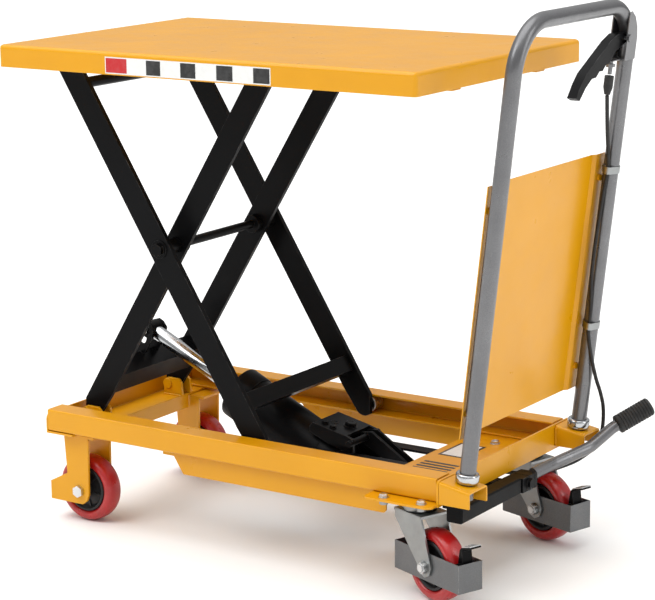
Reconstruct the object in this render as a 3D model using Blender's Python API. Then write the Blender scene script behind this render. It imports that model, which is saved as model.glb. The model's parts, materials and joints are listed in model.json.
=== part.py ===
"""Scissor lift table on wheels: platform, scissor, foot pump, push handle and four wheels.

Metres, +Z up, floor at z = 0, push handle at +X. Left and right are the operator's, who
stands behind the handle: left is -Y, right is +Y.
"""

import math

import bmesh
import bpy
from mathutils import Matrix, Vector

# ---- driving sizes -----------------------------------------------------------------
PLAT_L = 0.700
PLAT_W = 0.446
PLAT_TOP = 0.720
PLAT_T = 0.0025
PLAT_SKIRT = 0.032
LIFT_DEG = 58.15
ARM_L = 0.6395
ARM_HALF = 0.0186
PIVOT_X = -0.3017
PIVOT_Z = 0.1575
INNER_Y = (0.0960, 0.1025)
OUTER_Y = (0.1330, 0.1410)
ROLLER_R = 0.0130
RAIL_Y = 0.1786
RAIL_Z = (0.1410, 0.1740)
SHEET = 0.003
GAP = 0.0003
DECK_TOP = 0.1405
HANDLE_Y = 0.158
HANDLE_R = 0.011
HANDLE_TOP = 0.780
HANDLE_BEND = 0.065
WHEEL_R = 0.050
FRONT_X = -0.2796
FRONT_Y = 0.1368
SWIVEL_X = 0.309
SWIVEL_Y = 0.150
TRAIL = 0.039
YAWS = {"left": -21.0, "right": -17.0}
CYL_PIVOT = (0.100, 0.097)
ROD_PIVOT = (-0.262, 0.2683)
BARREL_R = 0.040
ROD_R = 0.0115
BRAKE_X = 0.0975
BRAKE_Z = 0.0645
PEDAL_X = 0.121
PEDAL_Z = 0.152
CENTRE_SHIFT = -0.067665

THETA = math.radians(LIFT_DEG)
U = (math.cos(THETA), math.sin(THETA))
TOP_PIVOT_Z = PIVOT_Z + ARM_L * U[1]
ROLLER_X = PIVOT_X + ARM_L * U[0]
MID_X = PIVOT_X + 0.5 * ARM_L * U[0]
MID_Z = PIVOT_Z + 0.5 * ARM_L * U[1]
SIDES = (("left", -1), ("right", 1))

PARTS = "scissor_lift_table"
CUTTERS = "cutters"

COLOURS = {
    "yellow": ((0.60, 0.27, 0.0, 1), 0.0, 0.35),
    "black": ((0.012, 0.012, 0.013, 1), 0.0, 0.4),
    "grey": ((0.10, 0.10, 0.105, 1), 0.6, 0.35),
    "zinc": ((0.55, 0.55, 0.55, 1), 1.0, 0.3),
    "chrome": ((0.75, 0.75, 0.76, 1), 1.0, 0.08),
    "red": ((0.62, 0.008, 0.008, 1), 0.0, 0.3),
    "rubber": ((0.012, 0.012, 0.012, 1), 0.0, 0.7),
    "guard": ((0.09, 0.095, 0.10, 1), 0.4, 0.4),
}


# ---- scene helpers -----------------------------------------------------------------
def clear_scene():
    for obj in list(bpy.data.objects):
        bpy.data.objects.remove(obj, do_unlink=True)
    for name in (PARTS, CUTTERS):
        coll = bpy.data.collections.new(name)
        bpy.context.scene.collection.children.link(coll)
    bpy.data.collections[CUTTERS].hide_render = True


def empty(name, loc, parent=None):
    obj = bpy.data.objects.new(name, None)
    bpy.data.collections[PARTS].objects.link(obj)
    obj.empty_display_size = 0.03
    obj.location = loc
    if parent is not None:
        obj.parent = parent
        obj.location = Vector(loc) - world_of(parent)
    return obj


def world_of(pivot):
    """Position of a pivot in the frame of the root empty."""
    here = Vector((0, 0, 0))
    while pivot is not None and pivot.name != "table_root":
        here += pivot.location
        pivot = pivot.parent
    return here


def link(obj, pivot, cutter=False):
    coll = CUTTERS if cutter else PARTS
    bpy.data.collections[coll].objects.link(obj)
    root = bpy.data.objects["table_root"]
    obj.parent = pivot if pivot is not None else root
    if pivot is not None:
        obj.location = obj.location - world_of(pivot)
    if cutter:
        obj.display_type = "WIRE"
        obj.hide_render = True
    return obj


def material(name, look):
    colour, metal, rough = COLOURS[look]
    mat = bpy.data.materials.new(name)
    mat.use_nodes = True
    shader = mat.node_tree.nodes["Principled BSDF"]
    shader.inputs["Base Color"].default_value = colour
    shader.inputs["Metallic"].default_value = metal
    shader.inputs["Roughness"].default_value = rough
    mat.diffuse_color = colour
    return mat


def new_object(name, bm, smooth=None):
    bmesh.ops.recalc_face_normals(bm, faces=bm.faces)
    mesh = bpy.data.meshes.new(name)
    bm.to_mesh(mesh)
    bm.free()
    if smooth is not None:
        mesh.shade_smooth()
        mesh.set_sharp_from_angle(angle=math.radians(smooth))
    return bpy.data.objects.new(name, mesh)


def part(name, bm, look, pivot=None, smooth=None):
    obj = new_object(name, bm, smooth)
    obj.data.materials.append(material(name, look))
    return link(obj, pivot)


def boolean(obj, bm, operation, pivot=None, tag="x"):
    """Cuts the solid in bm out of obj, or adds it to obj."""
    tool = new_object(obj.name + "_" + tag, bm)
    link(tool, pivot, cutter=True)
    mod = obj.modifiers.new(tag, "BOOLEAN")
    mod.operation = operation
    mod.solver = "EXACT"
    mod.object = tool
    return tool


def cut(obj, bm, tag, pivot=None):
    return boolean(obj, bm, "DIFFERENCE", pivot, "cut_" + tag)


def add(obj, bm, tag, pivot=None):
    return boolean(obj, bm, "UNION", pivot, "add_" + tag)


# ---- solid helpers: each returns a bmesh ------------------------------------------
def block(x, y, z):
    bm = bmesh.new()
    size = Vector((x[1] - x[0], y[1] - y[0], z[1] - z[0]))
    mid = Vector(((x[0] + x[1]) / 2, (y[0] + y[1]) / 2, (z[0] + z[1]) / 2))
    bmesh.ops.create_cube(bm, size=1.0)
    bmesh.ops.transform(bm, matrix=Matrix.Translation(mid) @ Matrix.Diagonal(size).to_4x4(), verts=bm.verts)
    return bm


def span(side, y):
    """The y range of a piece on one side, from its distances to the middle."""
    return (y[0], y[1]) if side > 0 else (-y[1], -y[0])


def soften(bm, radius, steps, chosen):
    """Rounds the edges that chosen(mid, direction) picks."""
    edges = []
    for edge in bm.edges:
        a = edge.verts[0].co
        b = edge.verts[1].co
        if chosen((a + b) / 2, (b - a).normalized()):
            edges.append(edge)
    bmesh.ops.bevel(bm, geom=edges, offset=radius, segments=steps, profile=0.5, affect="EDGES")
    return bm


def prism(points, axis, lo, hi):
    """A polygon pushed along an axis. Points are (x, z) for y, (y, z) for x, (x, y) for z."""
    bm = bmesh.new()
    rings = []
    for level in (lo, hi):
        ring = []
        for a, b in points:
            co = {"y": (a, level, b), "x": (level, a, b), "z": (a, b, level)}[axis]
            ring.append(bm.verts.new(co))
        rings.append(ring)
    count = len(points)
    bm.faces.new(rings[0])
    bm.faces.new(list(reversed(rings[1])))
    for i in range(count):
        j = (i + 1) % count
        bm.faces.new((rings[0][i], rings[1][i], rings[1][j], rings[0][j]))
    bmesh.ops.recalc_face_normals(bm, faces=bm.faces)
    return bm


def aim(axis):
    """The matrix that turns +Z to an axis."""
    return Vector(axis).to_track_quat("Z", "Y").to_matrix().to_4x4()


def rod(a, b, radius, steps=16):
    a = Vector(a)
    b = Vector(b)
    bm = bmesh.new()
    bmesh.ops.create_cone(
        bm, cap_ends=True, segments=steps, radius1=radius, radius2=radius, depth=(b - a).length
    )
    bmesh.ops.transform(bm, matrix=Matrix.Translation((a + b) / 2) @ aim(b - a), verts=bm.verts)
    return bm


def lathe(profile, origin, axis, steps=24, hollow=False):
    """Turns (radius, height) points round an axis; hollow closes the profile on itself."""
    bm = bmesh.new()
    place = Matrix.Translation(Vector(origin)) @ aim(axis)
    rings = []
    for radius, height in profile:
        ring = []
        for i in range(steps):
            turn = 2 * math.pi * i / steps
            co = Vector((radius * math.cos(turn), radius * math.sin(turn), height))
            ring.append(bm.verts.new(place @ co))
        rings.append(ring)
    pairs = list(zip(rings, rings[1:]))
    if hollow:
        pairs.append((rings[-1], rings[0]))
    else:
        bm.faces.new(rings[0])
        bm.faces.new(rings[-1])
    for low, high in pairs:
        for i in range(steps):
            j = (i + 1) % steps
            bm.faces.new((low[i], low[j], high[j], high[i]))
    bmesh.ops.recalc_face_normals(bm, faces=bm.faces)
    return bm


def sweep(points, radius, steps=12, inner=None):
    """A round bar along points; with inner it is a tube with open ends."""
    points = [Vector(p) for p in points]
    bm = bmesh.new()
    tangents = []
    for i in range(len(points)):
        a = points[max(i - 1, 0)]
        b = points[min(i + 1, len(points) - 1)]
        tangents.append((b - a).normalized())
    normal = tangents[0].orthogonal().normalized()
    shells = []
    for i, here in enumerate(points):
        if i:
            turn = tangents[i - 1].rotation_difference(tangents[i])
            normal = turn @ normal
        side = tangents[i].cross(normal)
        loops = []
        for rad in (radius, inner):
            if rad is None:
                continue
            loop = []
            for k in range(steps):
                turn = 2 * math.pi * k / steps
                loop.append(bm.verts.new(here + rad * (math.cos(turn) * normal + math.sin(turn) * side)))
            loops.append(loop)
        shells.append(loops)
    for low, high in zip(shells, shells[1:]):
        for a, b in zip(low, high):
            for k in range(steps):
                j = (k + 1) % steps
                bm.faces.new((a[k], a[j], b[j], b[k]))
    for end in (shells[0], shells[-1]):
        if inner is None:
            bm.faces.new(end[0])
            continue
        for k in range(steps):
            j = (k + 1) % steps
            bm.faces.new((end[0][k], end[0][j], end[1][j], end[1][k]))
    bmesh.ops.recalc_face_normals(bm, faces=bm.faces)
    return bm


def fillet_path(corners, radius, steps=5):
    """Rounds the corners of a polyline."""
    corners = [Vector(c) for c in corners]
    out = [corners[0]]
    for i in range(1, len(corners) - 1):
        a, b, c = corners[i - 1], corners[i], corners[i + 1]
        to_a = (a - b).normalized()
        to_c = (c - b).normalized()
        half = to_a.angle(to_c) / 2
        reach = min(radius / math.tan(half), 0.48 * min((a - b).length, (c - b).length))
        bend = reach * math.tan(half)
        centre = b + (to_a + to_c).normalized() * (bend / math.sin(half))
        start = (b + to_a * reach - centre).normalized()
        stop = (b + to_c * reach - centre).normalized()
        for k in range(steps + 1):
            out.append(centre + bend * start.slerp(stop, k / steps))
    out.append(corners[-1])
    return out


def clip(points, direction, limit):
    """Keeps the side of a convex polygon where the dot product stays under the limit."""
    out = []
    for i in range(len(points)):
        a = points[i]
        b = points[(i + 1) % len(points)]
        da = a[0] * direction[0] + a[1] * direction[1] - limit
        db = b[0] * direction[0] + b[1] * direction[1] - limit
        if da <= 0:
            out.append(a)
        if (da < 0 < db) or (db < 0 < da):
            t = da / (da - db)
            out.append((a[0] + t * (b[0] - a[0]), a[1] + t * (b[1] - a[1])))
    return out


def arm_outline(flip):
    """Side view of one scissor arm; flip mirrors it about the middle pivot."""
    normal = (-U[1], U[0])
    points = []
    for along, across in ((-1, -1), (1, -1), (1, 1), (-1, 1)):
        reach = along * (0.5 * ARM_L + 0.05)
        points.append((reach * U[0] + across * ARM_HALF * normal[0], reach * U[1] + across * ARM_HALF * normal[1]))
    end = 0.5 * ARM_L
    for sign in (-1, 1):
        tip = (sign * end * U[0], sign * end * U[1])
        for turn in (144.3, 128, 110, 90, 68, 46):
            angle = math.radians(turn)
            way = (sign * math.cos(angle), sign * math.sin(angle))
            points = clip(points, way, tip[0] * way[0] + tip[1] * way[1] + 0.0157)
        points = clip(points, (sign, 0), sign * tip[0] + 0.0105)
        if sign > 0:
            way = (math.cos(math.radians(51.9)), math.sin(math.radians(51.9)))
            points = clip(points, way, tip[0] * way[0] + tip[1] * way[1] + 0.0126)
        for turn in (22, -5, -25):
            angle = math.radians(turn)
            way = (sign * math.cos(angle), sign * math.sin(angle))
            points = clip(points, way, tip[0] * way[0] + tip[1] * way[1] + 0.0245)
    return [(MID_X + flip * x, MID_Z + z) for x, z in points]


def hexagon(centre, axis, across, depth):
    bm = bmesh.new()
    bmesh.ops.create_cone(
        bm, cap_ends=True, segments=6, radius1=across / 1.732, radius2=across / 1.732, depth=depth
    )
    bmesh.ops.transform(bm, matrix=Matrix.Translation(Vector(centre)) @ aim(axis), verts=bm.verts)
    return bm


# ---- platform ----------------------------------------------------------------------
def make_platform(pivot):
    half_l = PLAT_L / 2
    half_w = PLAT_W / 2
    low = PLAT_TOP - PLAT_SKIRT
    bm = block((-half_l, half_l), (-half_w, half_w), (low, PLAT_TOP))
    soften(bm, 0.006, 3, lambda mid, way: mid.z > PLAT_TOP - 0.001 or abs(way.z) > 0.9)
    top = part("platform_top", bm, "yellow", pivot, 30)
    inner = block(
        (-half_l + PLAT_T, half_l - PLAT_T),
        (-half_w + PLAT_T, half_w - PLAT_T),
        (low - 0.01, PLAT_TOP - PLAT_T),
    )
    soften(inner, 0.002, 2, lambda mid, way: mid.z > low and mid.z > PLAT_TOP - 0.004 or abs(way.z) > 0.9)
    cut(top, inner, "inside", pivot)
    for name, side in SIDES:
        for k, y in enumerate(((0.1265, 0.1315), (0.1425, 0.1470))):
            points = [
                (PIVOT_X - 0.024, PLAT_TOP - 0.002),
                (PIVOT_X - 0.013, TOP_PIVOT_Z - 0.014),
                (PIVOT_X + 0.013, TOP_PIVOT_Z - 0.014),
                (PIVOT_X + 0.024, PLAT_TOP - 0.002),
            ]
            add(top, prism(points, "y", *span(side, y)), name + "_lug" + str(k), pivot)
        pin = rod((PIVOT_X, side * 0.1245, TOP_PIVOT_Z), (PIVOT_X, side * 0.1495, TOP_PIVOT_Z), 0.0072)
        add(top, pin, name + "_pin", pivot)


def make_roller_channel(name, side, pivot):
    top = PLAT_TOP - PLAT_T - GAP
    low = 0.6845
    y0, y1 = 0.1030, 0.1270
    wall = 0.0025
    points = [(y0, low), (y1 - 0.002, low), (y1, low + 0.002), (y1, top - 0.002), (y1 - 0.002, top), (y0, top)]
    points += [(y0, top - wall), (y1 - wall, top - wall), (y1 - wall, low + wall), (y0, low + wall)]
    points = [(side * y, z) for y, z in points]
    part("roller_channel_" + name, prism(points, "x", 0.0200, 0.3450), "yellow", pivot)


# ---- scissor -----------------------------------------------------------------------
def make_inner_arm(name, side, pivot):
    y0, y1 = INNER_Y
    arm = part("inner_arm_" + name, prism(arm_outline(1), "y", *span(side, INNER_Y)), "black", pivot)
    for tag, x, z in (("foot", PIVOT_X, PIVOT_Z), ("middle", MID_X, MID_Z)):
        cut(arm, rod((x, side * 0.09, z), (x, side * 0.11, z), 0.0083, 16), tag, pivot)
    stub = lathe(
        [(0.006, 0), (0.006, y1 - y0 + 0.0158), (0.009, y1 - y0 + 0.016), (0.009, y1 - y0 + 0.0185)],
        (ROLLER_X, side * y0, TOP_PIVOT_Z),
        (0, side, 0),
        16,
    )
    stub_low = rod((ROLLER_X, side * (y0 - 0.003), TOP_PIVOT_Z), (ROLLER_X, side * (y0 + 0.001), TOP_PIVOT_Z), 0.009, 16)
    add(arm, stub, "stub", pivot)
    add(arm, stub_low, "weld", pivot)


def make_outer_arm(name, side, pivot):
    y0, y1 = OUTER_Y
    arm = part("outer_arm_" + name, prism(arm_outline(-1), "y", *span(side, OUTER_Y)), "black", pivot)
    for tag, x, z in (("head", PIVOT_X, TOP_PIVOT_Z), ("middle", MID_X, MID_Z)):
        cut(arm, rod((x, side * 0.12, z), (x, side * 0.15, z), 0.0075 if tag == "head" else 0.0083, 16), tag, pivot)
    stub = lathe(
        [(0.007, 0), (0.007, 0.0346), (0.010, 0.0348), (0.010, 0.0380)],
        (ROLLER_X, side * (y0 + 0.001), PIVOT_Z),
        (0, side, 0),
        16,
    )
    add(arm, stub, "stub", pivot)


def make_roller(name, centre, side, y, bore, pivot):
    width = y[1] - y[0]
    profile = [
        (bore, 0),
        (ROLLER_R - 0.001, 0),
        (ROLLER_R, 0.0012),
        (ROLLER_R, width - 0.0012),
        (ROLLER_R - 0.001, width),
        (bore, width),
    ]
    origin = (centre[0], side * y[0], centre[1])
    part(name, lathe(profile, origin, (0, side, 0), 20, True), "zinc", pivot, 40)


def arm_frame(along, across):
    """A point beside the inner arm, measured from its foot pivot."""
    return (
        PIVOT_X + along * U[0] - across * U[1],
        PIVOT_Z + along * U[1] + across * U[0],
    )


def make_inner_cross(pivot):
    """Box member between the inner arms with the slotted ears of the piston rod."""
    outer = [arm_frame(a, n) for a, n in ((0.046, -0.0165), (0.082, -0.0165), (0.082, 0.0165), (0.046, 0.0165))]
    inner = [arm_frame(a, n) for a, n in ((0.049, -0.0135), (0.079, -0.0135), (0.079, 0.0135), (0.049, 0.0135))]
    y = INNER_Y[0] - GAP
    cross = part("inner_cross_member", prism(outer, "y", -y, y), "black", pivot)
    cut(cross, prism(inner, "y", -y - 0.01, y + 0.01), "bore", pivot)
    ear = [(0.052, 0.0100), (0.081, 0.0080), (0.110, 0.0080), (0.124, 0.0120), (0.128, 0.0220), (0.127, 0.0310)]
    ear += [(0.120, 0.0375), (0.098, 0.0375), (0.066, 0.0250), (0.052, 0.0150)]
    ear = [arm_frame(a, n) for a, n in ear]
    for name, side in SIDES:
        add(cross, prism(ear, "y", *span(side, (0.0130, 0.0180))), name + "_ear", pivot)
    slot = []
    for k in range(9):
        turn = math.radians(-90 + 22.5 * k)
        slot.append((0.1155 + 0.0068 * math.cos(turn), 0.0240 + 0.0080 * math.sin(turn)))
    for k in range(9):
        turn = math.radians(90 + 22.5 * k)
        slot.append((0.1000 + 0.0068 * math.cos(turn), 0.0235 + 0.0080 * math.sin(turn)))
    slot = [arm_frame(a, n) for a, n in slot]
    cut(cross, prism(slot, "y", -0.03, 0.03), "slot", pivot)


def make_centre_shaft(pivot):
    """Shaft through the four arms with bosses, spacers and bolt heads."""
    half = [
        (0.0080, 0.1480),
        (0.0080, 0.1328),
        (0.0115, 0.1325),
        (0.0115, 0.1030),
        (0.0080, 0.1027),
        (0.0080, 0.0959),
        (0.0135, 0.0955),
        (0.0135, 0.0845),
        (0.0065, 0.0843),
    ]
    profile = [(r, -y) for r, y in half] + [(r, y) for r, y in reversed(half)]
    shaft = part("scissor_centre_shaft", lathe(profile, (MID_X, 0, MID_Z), (0, 1, 0), 16), "black", pivot, 40)
    for name, side in SIDES:
        washer = rod((MID_X, side * 0.1415, MID_Z), (MID_X, side * 0.1430, MID_Z), 0.0135, 20)
        add(shaft, washer, name + "_washer", pivot)
        add(shaft, hexagon((MID_X, side * 0.1460, MID_Z), (0, 1, 0), 0.017, 0.007), name + "_head", pivot)


def make_outer_ties(pivot):
    down = (U[0], -U[1])
    x = ROLLER_X - 0.068 * U[0]
    z = PIVOT_Z + 0.068 * U[1]
    y = OUTER_Y[0] - GAP
    ring = []
    hole = []
    for a, n in ((-1, -1), (1, -1), (1, 1), (-1, 1)):
        ring.append((x + 0.0125 * (a * down[0] - n * down[1]), z + 0.0125 * (a * down[1] + n * down[0])))
        hole.append((x + 0.010 * (a * down[0] - n * down[1]), z + 0.010 * (a * down[1] + n * down[0])))
    beam = part("outer_cross_beam", prism(ring, "y", -y, y), "black", pivot)
    cut(beam, prism(hole, "y", -y - 0.01, y + 0.01), "bore", pivot)
    tx = PIVOT_X + 0.050 * down[0]
    tz = TOP_PIVOT_Z + 0.050 * down[1]
    part("outer_upper_tie", rod((tx, -y, tz), (tx, y, tz), 0.008, 20), "black", pivot, 40)


# ---- base --------------------------------------------------------------------------
def make_rail(name, side):
    z0, z1 = RAIL_Z
    y0, y1 = 0.1447, RAIL_Y
    soft = 0.003
    points = [(y0, z0), (y1 - soft, z0), (y1 - 0.0009, z0 + 0.0009), (y1, z0 + soft), (y1, z1 - soft)]
    points += [(y1 - 0.0009, z1 - 0.0009), (y1 - soft, z1), (y0, z1), (y0, z1 - SHEET), (y1 - SHEET, z1 - SHEET)]
    points += [(y1 - SHEET, z0 + SHEET), (y0, z0 + SHEET)]
    points = [(side * y, z) for y, z in points]
    rail = part("base_rail_" + name, prism(points, "x", -0.3237, 0.3520), "yellow")
    skirt = [(-0.104, z0 + 0.0015), (-0.081, 0.108), (0.261, 0.108), (0.265, 0.112), (0.265, z0 + 0.0015)]
    add(rail, prism(skirt, "y", *span(side, (0.1635, 0.1665))), "skirt")
    stop = [(-0.016, z0 + 0.001), (0.020, z0 + 0.001), (0.012, z1 - 0.001), (-0.016, z1 - 0.001)]
    add(rail, prism(stop, "y", *span(side, (0.1700, 0.1760))), "stop")


def make_front_member():
    front = -0.327
    points = [(front, 0.137), (front, 0.168), (front + SHEET, 0.168), (front + SHEET, DECK_TOP - 0.0003)]
    points += [(-0.277, DECK_TOP - 0.0003), (-0.277, 0.137)]
    bm = prism(points, "y", -RAIL_Y, RAIL_Y)
    soften(bm, 0.010, 3, lambda mid, way: abs(way.x) > 0.9 and mid.x < front + SHEET and mid.z > 0.16)
    member = part("front_cross_member", bm, "yellow")
    add(member, block((-0.280, -0.277), (-0.1060, 0.1060), (0.117, 0.1395)), "lip")


def make_deck():
    plate = [(0.222, -0.163), (0.222, 0.163), (0.2730, 0.163), (0.2730, 0.1672), (0.250, 0.1672)]
    plate += [(0.250, 0.198), (0.257, 0.205), (0.350, 0.205), (0.357, 0.198), (0.357, -0.198)]
    plate += [(0.350, -0.205), (0.257, -0.205), (0.250, -0.198), (0.250, -0.1672), (0.2730, -0.1672)]
    plate += [(0.2730, -0.163)]
    deck = part("rear_deck", prism(plate, "z", DECK_TOP - SHEET, DECK_TOP), "yellow")
    flange = block((0.3565, 0.3600), (-0.187, 0.187), (DECK_TOP - SHEET, 0.174))
    soften(flange, 0.006, 2, lambda mid, way: abs(way.x) > 0.9 and mid.z > 0.17)
    add(deck, flange, "flange")


def make_socket(name, side):
    """Inverted channel that holds one leg of the handle, open towards the operator."""
    x0, x1 = 0.3603, 0.4070
    y0, y1 = 0.1380, 0.1870
    points = [(x0, 0.142), (x1, 0.142), (x1, 0.1650), (x0, 0.1730)]
    bm = prism(points, "y", *span(side, (y0, y1)))
    soften(bm, 0.005, 2, lambda mid, way: abs(way.x) > 0.9 and mid.z > 0.16)
    socket = part("handle_socket_" + name, bm, "yellow")
    inner = [(x0 + SHEET, 0.130), (x1 + 0.01, 0.130), (x1 + 0.01, 0.1603), (x0 + SHEET, 0.1695)]
    cut(socket, prism(inner, "y", *span(side, (y0 + SHEET, y1 - SHEET))), "inside")
    low = handle_point(side, 0.13)
    high = handle_point(side, 0.20)
    cut(socket, rod(low, high, HANDLE_R + GAP, 20), "bore")


def handle_point(side, z, back=0.0):
    return (0.388 + 0.123 * (z - 0.18) - back, side * HANDLE_Y, z)


def make_collar(name, side):
    axis = Vector(handle_point(side, 0.30)) - Vector(handle_point(side, 0.18))
    profile = [(HANDLE_R + GAP, 0), (0.0155, 0), (0.016, 0.001), (0.016, 0.0115), (0.0145, 0.013), (HANDLE_R + GAP, 0.013)]
    part("handle_collar_" + name, lathe(profile, handle_point(side, 0.1705), axis, 20, True), "chrome", None, 40)


def make_handle():
    corners = [
        handle_point(-1, 0.147),
        handle_point(-1, HANDLE_TOP),
        handle_point(1, HANDLE_TOP),
        handle_point(1, 0.147),
    ]
    path = fillet_path(corners, HANDLE_BEND, 6)
    part("push_handle", sweep(path, HANDLE_R, 14, HANDLE_R - 0.002), "grey", None, 40)


def make_guard_panel():
    """Sheet between the handle legs, bent forward of them, with folded side strips."""
    lean = 0.123
    t = 0.0015
    y = (0.164, 0.139, 0.134)
    section = [(0.0, y[0]), (0.0, y[1]), (0.0045, y[2])]
    outline = [(b, -w) for b, w in section] + [(b, w) for b, w in reversed(section)]
    back = [(b + t, w) for b, w in reversed(outline)]
    bm = bmesh.new()
    rings = []
    for z in (0.228, 0.571):
        x = 0.388 + lean * (z - 0.18) - 0.0145
        rings.append([bm.verts.new((x - b, w, z)) for b, w in outline + back])
    count = len(rings[0])
    bm.faces.new(rings[0])
    bm.faces.new(rings[1])
    for i in range(count):
        j = (i + 1) % count
        bm.faces.new((rings[0][i], rings[0][j], rings[1][j], rings[1][i]))
    panel = part("guard_panel", bm, "yellow")
    for name, side in SIDES:
        for k, z in enumerate((0.262, 0.537)):
            x = 0.388 + lean * (z - 0.18) - 0.0155
            tab = rod((x, side * 0.152, z), (x + 0.0042, side * 0.1520, z), 0.005, 10)
            add(panel, tab, name + "_tab" + str(k))


def make_clevis(name, side):
    y = ((0.0860, 0.0905), (0.1080, 0.1125))
    outline = [(-0.310, 0.1405), (-0.274, 0.1405), (-0.276, 0.162), (-0.281, 0.167), (-0.303, 0.167), (-0.310, 0.162)]
    outline = [(px, pz + 0.0001) for px, pz in outline]
    clevis = part("arm_clevis_" + name, prism(outline, "y", *span(side, y[0])), "yellow")
    add(clevis, prism(outline, "y", *span(side, y[1])), "outer")
    pin = rod((PIVOT_X, side * 0.0835, PIVOT_Z), (PIVOT_X, side * 0.1140, PIVOT_Z), 0.0078, 16)
    add(clevis, pin, "pin")
    add(clevis, hexagon((PIVOT_X, side * 0.1150, PIVOT_Z), (0, 1, 0), 0.017, 0.005), "head")


def make_rear_bar():
    bm = block((0.3635, 0.3885), (-0.172, -0.0125), (0.1145, 0.1372))
    soften(bm, 0.003, 2, lambda mid, way: abs(way.y) > 0.9)
    bar = part("rear_cross_bar", bm, "black")
    for side_y in (-0.150, -0.040):
        post = block((0.3500, 0.3640), (side_y - 0.010, side_y + 0.010), (0.1280, 0.1371))
        add(bar, post, "post" + str(int(-side_y * 1000)))


# ---- front wheels ------------------------------------------------------------------
def make_front_fork(name, side):
    """Fixed fork: crown plate, two cheeks and a toe plate in front of the wheel."""
    x = FRONT_X
    z = WHEEL_R
    outer = [(x - 0.020, 0.1365), (x - 0.026, 0.131), (x - 0.022, 0.075), (x - 0.055, 0.058), (x - 0.055, 0.030)]
    outer += [(x + 0.006, 0.030), (x + 0.014, 0.036), (x + 0.018, 0.046), (x + 0.020, 0.131), (x + 0.014, 0.1365)]
    y_out = (FRONT_Y + 0.0235, FRONT_Y + 0.0275)
    y_in = (FRONT_Y - 0.0275, FRONT_Y - 0.0235)
    fork = part("front_fork_" + name, prism(outer, "y", *span(side, y_out)), "yellow")
    add(fork, prism(outer, "y", *span(side, y_in)), "inner")
    crown = block((x - 0.030, x + 0.030), span(side, (y_in[0], y_out[1])), (0.1325, 0.1367))
    add(fork, crown, "crown")
    toe = block((x - 0.055, x - 0.052), span(side, (y_in[0], y_out[1])), (0.030, 0.058))
    add(fork, toe, "toe")
    cut(fork, rod((x, side * 0.09, z), (x, side * 0.18, z), 0.0060, 16), "axle")


def make_front_axle(name, side):
    x = FRONT_X
    a = FRONT_Y - 0.0310
    b = FRONT_Y + 0.0310
    axle = part("front_axle_" + name, rod((x, side * a, WHEEL_R), (x, side * b, WHEEL_R), 0.0057, 16), "zinc", None, 40)
    for tag, y in (("head", FRONT_Y + 0.0305), ("nut", FRONT_Y - 0.0305)):
        add(axle, hexagon((x, side * y, WHEEL_R), (0, 1, 0), 0.016, 0.0054), tag)


def tyre_profile(half):
    r = WHEEL_R
    return [
        (0.0370, -half),
        (r - 0.0075, -half),
        (r - 0.0028, -half + 0.0030),
        (r, -half + 0.0105),
        (r, half - 0.0105),
        (r - 0.0028, half - 0.0030),
        (r - 0.0075, half),
        (0.0370, half),
        (0.0345, half - 0.004),
        (0.0345, -half + 0.004),
    ]


def hub_profile(half, bore, boss):
    return [
        (bore, -half - boss),
        (0.0125, -half - boss),
        (0.0125, -half + 0.004),
        (0.0290, -half + 0.005),
        (0.0300, -half + 0.001),
        (0.0340, -half + 0.001),
        (0.0340, half - 0.001),
        (0.0300, half - 0.001),
        (0.0290, half - 0.005),
        (0.0125, half - 0.004),
        (0.0125, half + boss),
        (bore, half + boss),
    ]


def make_wheel(stem, name, centre, axis, pivot):
    half = 0.0150
    boss = 0.0030 if stem == "caster" else 0.0040
    part(stem + "_tyre_" + name, lathe(tyre_profile(half), centre, axis, 32, True), "red", pivot, 40)
    part(stem + "_hub_" + name, lathe(hub_profile(half, 0.0060, boss), centre, axis, 20, True), "black", pivot, 40)


# ---- rear casters ------------------------------------------------------------------
def caster_place(name, side):
    """Matrix from a caster's own axes, +x along its trail, to the table."""
    yaw = Matrix.Rotation(math.radians(YAWS[name]), 4, "Z")
    return Matrix.Translation((SWIVEL_X, side * SWIVEL_Y, 0)) @ yaw


def moved(bm, place):
    bmesh.ops.transform(bm, matrix=place, verts=bm.verts)
    return bm


def make_caster_plate(name, side):
    top = DECK_TOP - SHEET - GAP
    bm = block((SWIVEL_X - 0.040, SWIVEL_X + 0.040), (side * SWIVEL_Y - 0.045, side * SWIVEL_Y + 0.045), (top - 0.003, top))
    soften(bm, 0.008, 2, lambda mid, way: abs(way.z) > 0.9)
    plate = part("caster_plate_" + name, bm, "zinc", None, 40)
    race = lathe(
        [(0.010, top - 0.0185), (0.0225, top - 0.0185), (0.0275, top - 0.009), (0.0275, top - 0.002)],
        (SWIVEL_X, side * SWIVEL_Y, 0),
        (0, 0, 1),
        24,
    )
    add(plate, race, "race")
    for k, (dx, dy) in enumerate(((-0.031, -0.043), (0.028, -0.043), (-0.031, 0.043), (0.028, 0.043))):
        x = SWIVEL_X + dx
        y = side * SWIVEL_Y + dy
        if k in (0, 1) and side > 0 or k in (2, 3) and side < 0:
            y = side * (SWIVEL_Y - 0.036)
        lug = rod((x, y, top - 0.006), (x, y, top - 0.001), 0.0062, 10)
        add(plate, lug, "lug" + str(k))


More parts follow.
